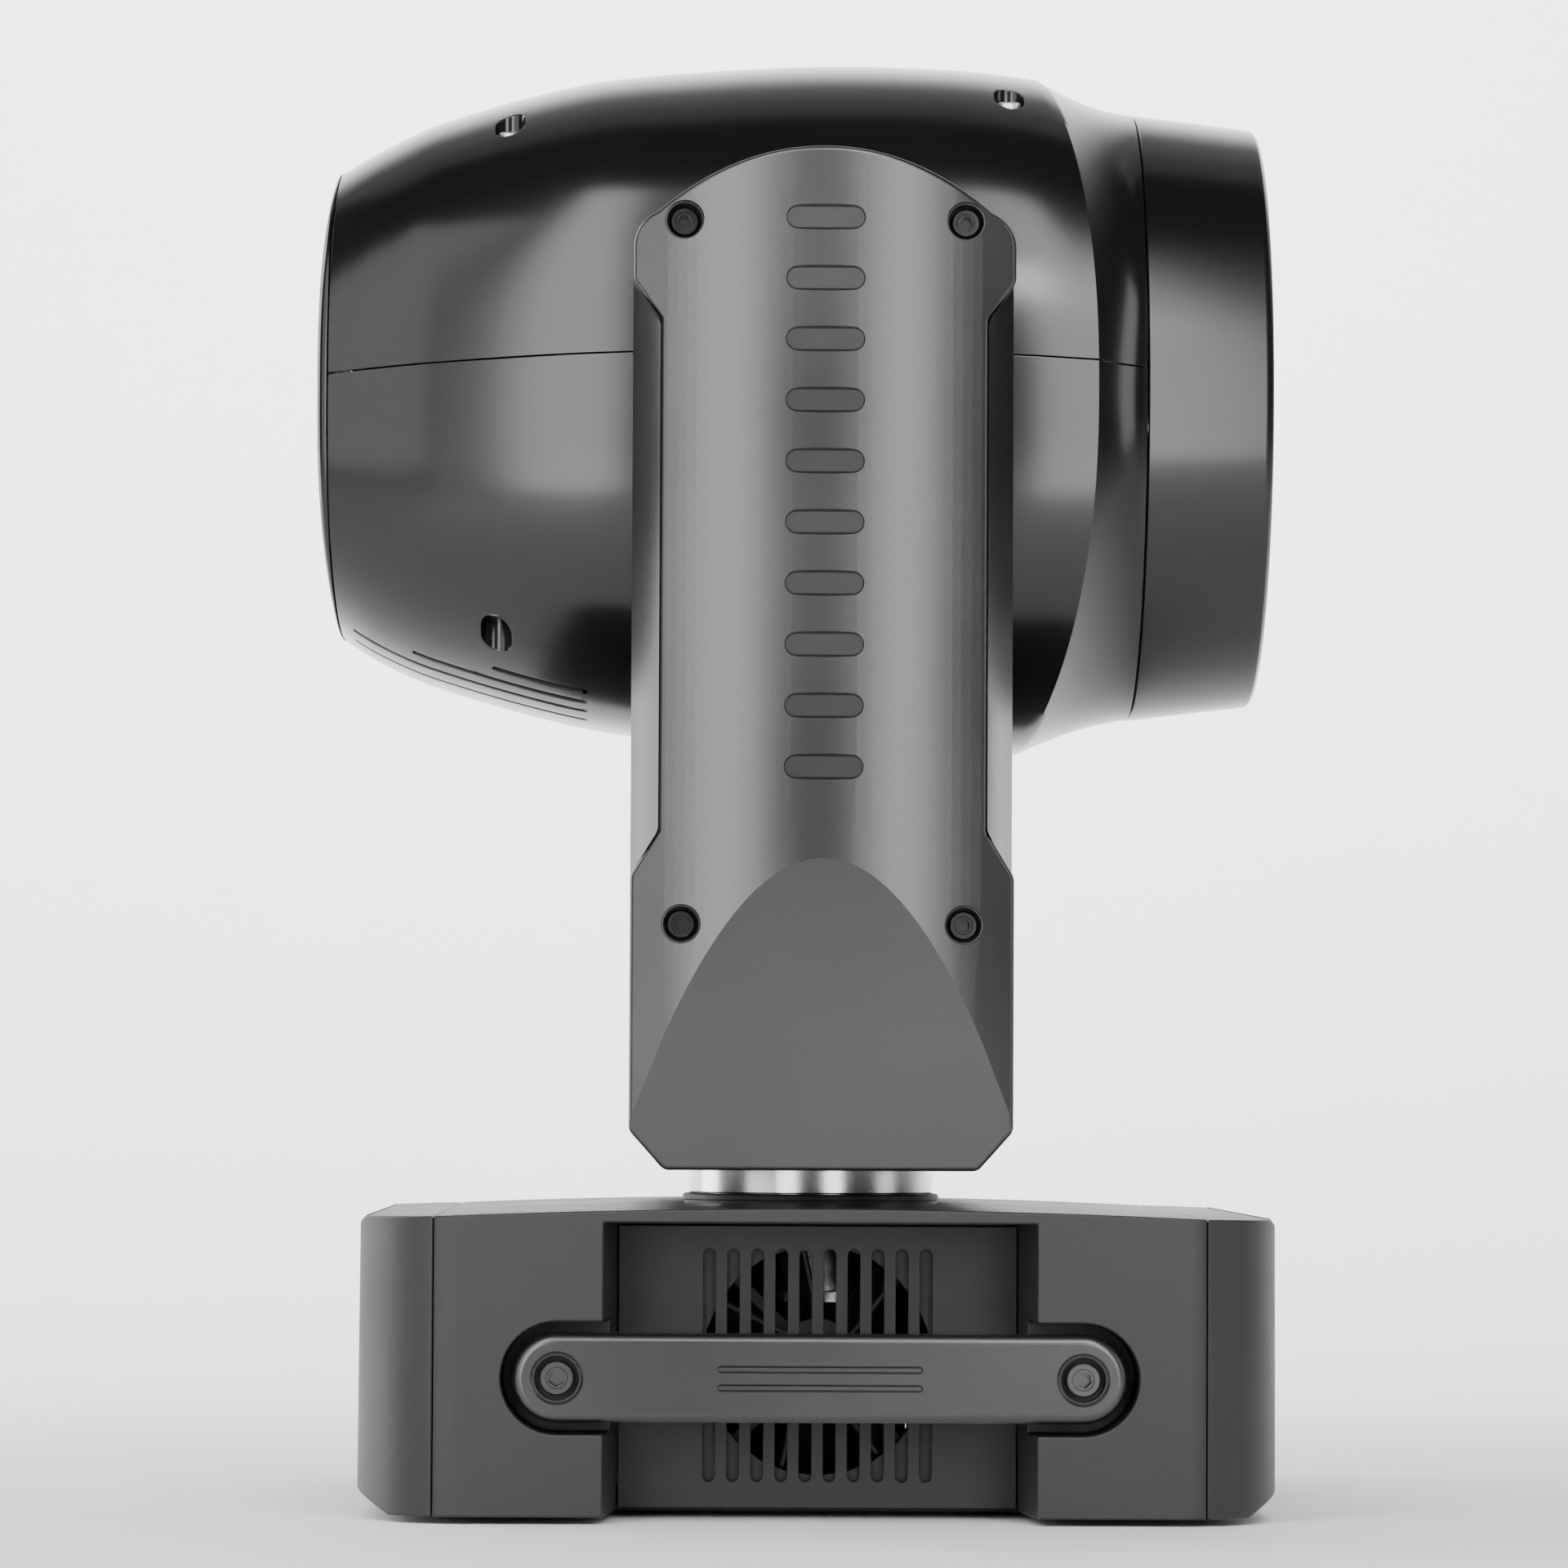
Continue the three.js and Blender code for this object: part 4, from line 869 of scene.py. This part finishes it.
# Oval recesses as x, y and the height of the floor, and louvres as y and where the slot starts along x.
SHELL_SCREWS_TOP = [(-91.5, 62, 401), (56, 62, 411)]
SHELL_SCREWS_LOW = [(-94.5, 68, 266), (30, 68, 247)]
LOUVRES = [(52, -96), (44.5, -120), (36, -138), (24, -138)]
LOUVRE_END, LOUVRE_R = -68.0, 1.1


def outward(patch):
    """Makes a patch's faces point away from the head's axis."""
    centre = Vector((0, 0, TILT_Z * MM))
    face = patch.data.polygons[len(patch.data.polygons) // 2]
    if face.normal.dot(face.center - centre) < 0:
        patch.data.flip_normals()


def head_core(inset):
    """The body of the head as one closed solid, for trimming the bosses under the shells."""
    work = bmesh.new()
    rings = []
    for k in range(41):
        x = -135 + 5 * k
        rings.append([work.verts.new(section_point(x, 2 * math.pi * i / 120, inset)) for i in range(120)])
    for one, two in zip(rings, rings[1:]):
        for i in range(120):
            j = (i + 1) % 120
            work.faces.new((one[i], one[j], two[j], two[i]))
    work.faces.new(rings[0])
    work.faces.new(rings[-1])
    return piece_from(work, "tool")


def shell_recesses(upper):
    """Each oval recess of one shell, as the outline, the floor's height and the side of the head."""
    for x, y, z in SHELL_SCREWS_TOP if upper else SHELL_SCREWS_LOW:
        for side in (-1, 1):
            yield x, side * y, z


def recess_tool(x, y, z, upper, r):
    """An oval of end radius r, from the height z out through the shell."""
    low, high = (z, 460) if upper else (190, z)
    half = OVAL_HALF + r - OVAL_R
    return prism(capsule_up(x, y - half, y + half, r, 16), "z", low, high)


def build_shell_screw(x, y, z, upper, number):
    """A zinc screw standing on the floor of an oval recess."""
    end = "top" if upper else "under"
    screw = socket_screw(f"shell_screw_{end}_{number}", 3.6, 4.3, 1.4, 2.2)
    turn = Matrix.Identity(4) if upper else Matrix.Rotation(math.pi, 4, "X")
    rise = 4.2 if upper else -4.2
    screw.data.transform(Matrix.Translation(Vector((x, y, z + rise)) * MM) @ turn)
    place_piece(screw, ZINC, "head", "bright_steel")


def build_shell(upper):
    name = "head_top_shell" if upper else "head_under_shell"
    shell = shell_patch(upper, name)
    outward(shell)
    step = shell.modifiers.new("wall", "SOLIDIFY")
    step.thickness = SHELL_WALL * MM
    step.offset = -1
    apply_modifiers(shell)
    for x, y, z in shell_recesses(upper):
        floor = z - OVAL_FLOOR if upper else z + OVAL_FLOOR
        join(shell, keep(recess_tool(x, y, floor, upper, OVAL_R + 1.5), head_core(0.5)))
    for number, (x, y, z) in enumerate(shell_recesses(upper), 1):
        cut(shell, recess_tool(x, y, z, upper, OVAL_R))
        cut(shell, prism(circle(x, y, 1.5, 24), "z", z - 2.5, z + 2.5))
        build_shell_screw(x, y, z, upper, number)
    if not upper:
        for side in (-1, 1):
            for y, start in LOUVRES:
                slot = capsule(start, LOUVRE_END, side * y, LOUVRE_R, 6)
                cut(shell, prism(slot, "z", 200, 300))
    bevel(shell, 0.3, 2, 60)
    node = "head_shell_top" if upper else "head_shell_bottom"
    return place_piece(shell, HEAD_BLACK, "head", "head_black", node)


def build_front_ring():
    profile = [
        (RING_R - 6, RING_X),
        (RING_R - 0.4, RING_X),
        (RING_R, RING_X + 0.4),
        (NOSE_R + 0.25, NOSE_X - 2.6),
        (NOSE_R - 0.2, NOSE_X - 1.2),
        (NOSE_R - 1.3, NOSE_X - 0.3),
        (NOSE_R - 2.4, NOSE_X),
        (LENS_R + 3, NOSE_X),
        (LENS_R + 1.6, NOSE_X - 0.8),
        (LENS_R + 0.6, 126),
        (LENS_R, 118.2),
        (LENS_R + 4.2, 118.2),
        (LENS_R + 4.2, 104),
        (RING_R - 6, 104),
    ]
    ring = lathe(profile, "x", (0, 0, TILT_Z), "front_bezel", 160, True)
    return place_piece(ring, HEAD_BLACK, "head", "head_black", "front_ring")


def build_front_lens():
    steps = (0, 8, 16, 24, 32, 40, 48, 56, 64, 70, LENS_EDGE_R)
    dome = [(r, LENS_CROWN - LENS_SAG * (r / LENS_EDGE_R) ** 2) for r in steps]
    profile = [(0, 107)] + [(79.6, 107), (79.6, 117.7)] + dome[::-1]
    lens = lathe(profile, "x", (0, 0, TILT_Z), "front_glass", 128)
    return place_piece(lens, LENS, "head", "clear_glass", "front_lens")


def build_rear_cap():
    """The rear cap: the head's last section, rounded over to a slightly domed face, with exhaust slots."""
    work = bmesh.new()
    columns = 160
    turns = [2 * math.pi * i / columns for i in range(columns)]

    def rim(turn, sink, inset):
        """A point of the rounded rim, which is deepest at the sides and fades out above and below."""
        depth = GAP + 0.55 + 2.25 * math.cos(turn) ** 2
        edge = section_point(rear_x(turn), turn, inset * (0.7 + 0.3 * math.cos(turn) ** 2))
        return Vector((rear_x(turn) - GAP - (depth - GAP) * sink, edge.y, edge.z))

    rings = [[work.verts.new(rim(turn, 0, 0)) for turn in turns]]
    for i in range(1, 9):
        a = math.radians(90 * i / 8)
        rings.append([work.verts.new(rim(turn, math.sin(a), 3.4 * (1 - math.cos(a)))) for turn in turns])
    for share in (0.85, 0.6, 0.35, 0.12):
        row = []
        for turn in turns:
            edge = rim(turn, 1, 3.4)
            x = edge.x + (REAR_X - 3.1 - edge.x) * (1 - share**2)
            z = HEAD_MIDDLE + (edge.z - HEAD_MIDDLE) * share
            row.append(work.verts.new((x, edge.y * share, z)))
        rings.append(row)
    for one, two in zip(rings, rings[1:]):
        for i in range(columns):
            j = (i + 1) % columns
            work.faces.new((one[i], one[j], two[j], two[i]))
    work.faces.new(rings[-1])
    work.faces.new(rings[0][::-1])
    cap = piece_from(work, "head_rear_cap")
    for i in range(-4, 5):
        half = math.sqrt(48**2 - (i * 10) ** 2)
        cut(cap, prism(capsule(-half, half, TILT_Z + i * 10, 1.8, 8), "x", -160, -130))
    return place_piece(cap, HEAD_BLACK, "head", "head_black", "head_rear_grille")


# ---- Studio -------------------------------------------------------------------------------------


def build_studio():
    work = bmesh.new()
    rows = []
    for y, z in [(-6, 0), (0.4, 0)] + arc(0.7, 2.1, 2.1, -90, 0, 64) + [(2.8, 6)]:
        rows.append([work.verts.new((x / MM, y / MM, z / MM)) for x in (-8, 8)])
    for one, two in zip(rows, rows[1:]):
        work.faces.new((one[0], one[1], two[1], two[0]))
    floor = piece_from(work, "studio_floor")
    for polygon in floor.data.polygons:
        polygon.use_smooth = True
    dress(floor, textured("pale_backdrop", (0.93, 0.93, 0.93), 0.75, 60, 0.02, vary=0.01))

    world = bpy.data.worlds.new("studio")
    bpy.context.scene.world = world
    world.use_nodes = True
    world.node_tree.nodes["Background"].inputs["Color"].default_value = (1, 1, 1, 1)
    world.node_tree.nodes["Background"].inputs["Strength"].default_value = 0.05

    for name, place, target, size, power in LIGHTS:
        lamp = bpy.data.lights.new(name, "AREA")
        lamp.shape = "RECTANGLE"
        lamp.size, lamp.size_y = size
        lamp.energy = power
        holder = bpy.data.objects.new(name, lamp)
        holder.location = place
        holder.rotation_euler = (Vector(target) - Vector(place)).to_track_quat("-Z", "Y").to_euler()
        bpy.context.scene.collection.objects.link(holder)


LIGHTS = [
    ("softbox_left", (-0.34, -0.8, 0.92), (-0.2, 0, 0.92), (0.27, 1.8), 10.5),
    ("softbox_right", (0.29, -0.8, 0.92), (0.2, 0, 0.92), (0.22, 1.8), 9),
    ("softbox_high", (0.15, -1.5, 1.15), (0, 0, 0.3), (0.6, 0.3), 7),
    ("softbox_side", (-1.0, -0.85, 0.9), (0, 0, 0.9), (0.6, 1.7), 7),
    ("softbox_rear", (-1.5, 0.6, 0.7), (0, 0, 0.3), (0.8, 1.4), 22),
    ("softbox_front", (1.7, -0.5, 0.7), (0, 0, 0.3), (0.6, 1.2), 6),
    ("softbox_top", (0, 0.9, 2.4), (0, 0.3, 0), (3.0, 0.9), 3),
    ("backdrop_light", (0, 1.0, 1.9), (0, 2.6, 0.9), (3.0, 0.5), 170),
]


def build_camera():
    camera = bpy.data.cameras.new("camera")
    camera.sensor_width = 36
    camera.lens = 162.3
    camera.clip_end = 50
    holder = bpy.data.objects.new("camera", camera)
    pitch, yaw, roll = 2.61, -0.94, 0.28
    holder.location = (-0.0438, -2.144, 0.118)
    swing = Matrix.Rotation(math.radians(yaw), 4, "Z")
    aim = Matrix.Rotation(math.radians(90 + pitch), 4, "X")
    lean = Matrix.Rotation(math.radians(roll), 4, "Z")
    holder.rotation_euler = (swing @ aim @ lean).to_euler()
    bpy.context.scene.collection.objects.link(holder)
    bpy.context.scene.camera = holder


# ---- Assembly -----------------------------------------------------------------------------------

dress_cad()
build_base_shells()
build_control_end()
build_connector_end()
build_vent_panels()
build_handles()
build_handle_screws()
build_neck()
build_arm_covers()
build_inner_cover()
build_bottom_cover()
build_shell(True)
build_shell(False)
build_rear_cap()
build_front_ring()
build_front_lens()
build_studio()
build_camera()
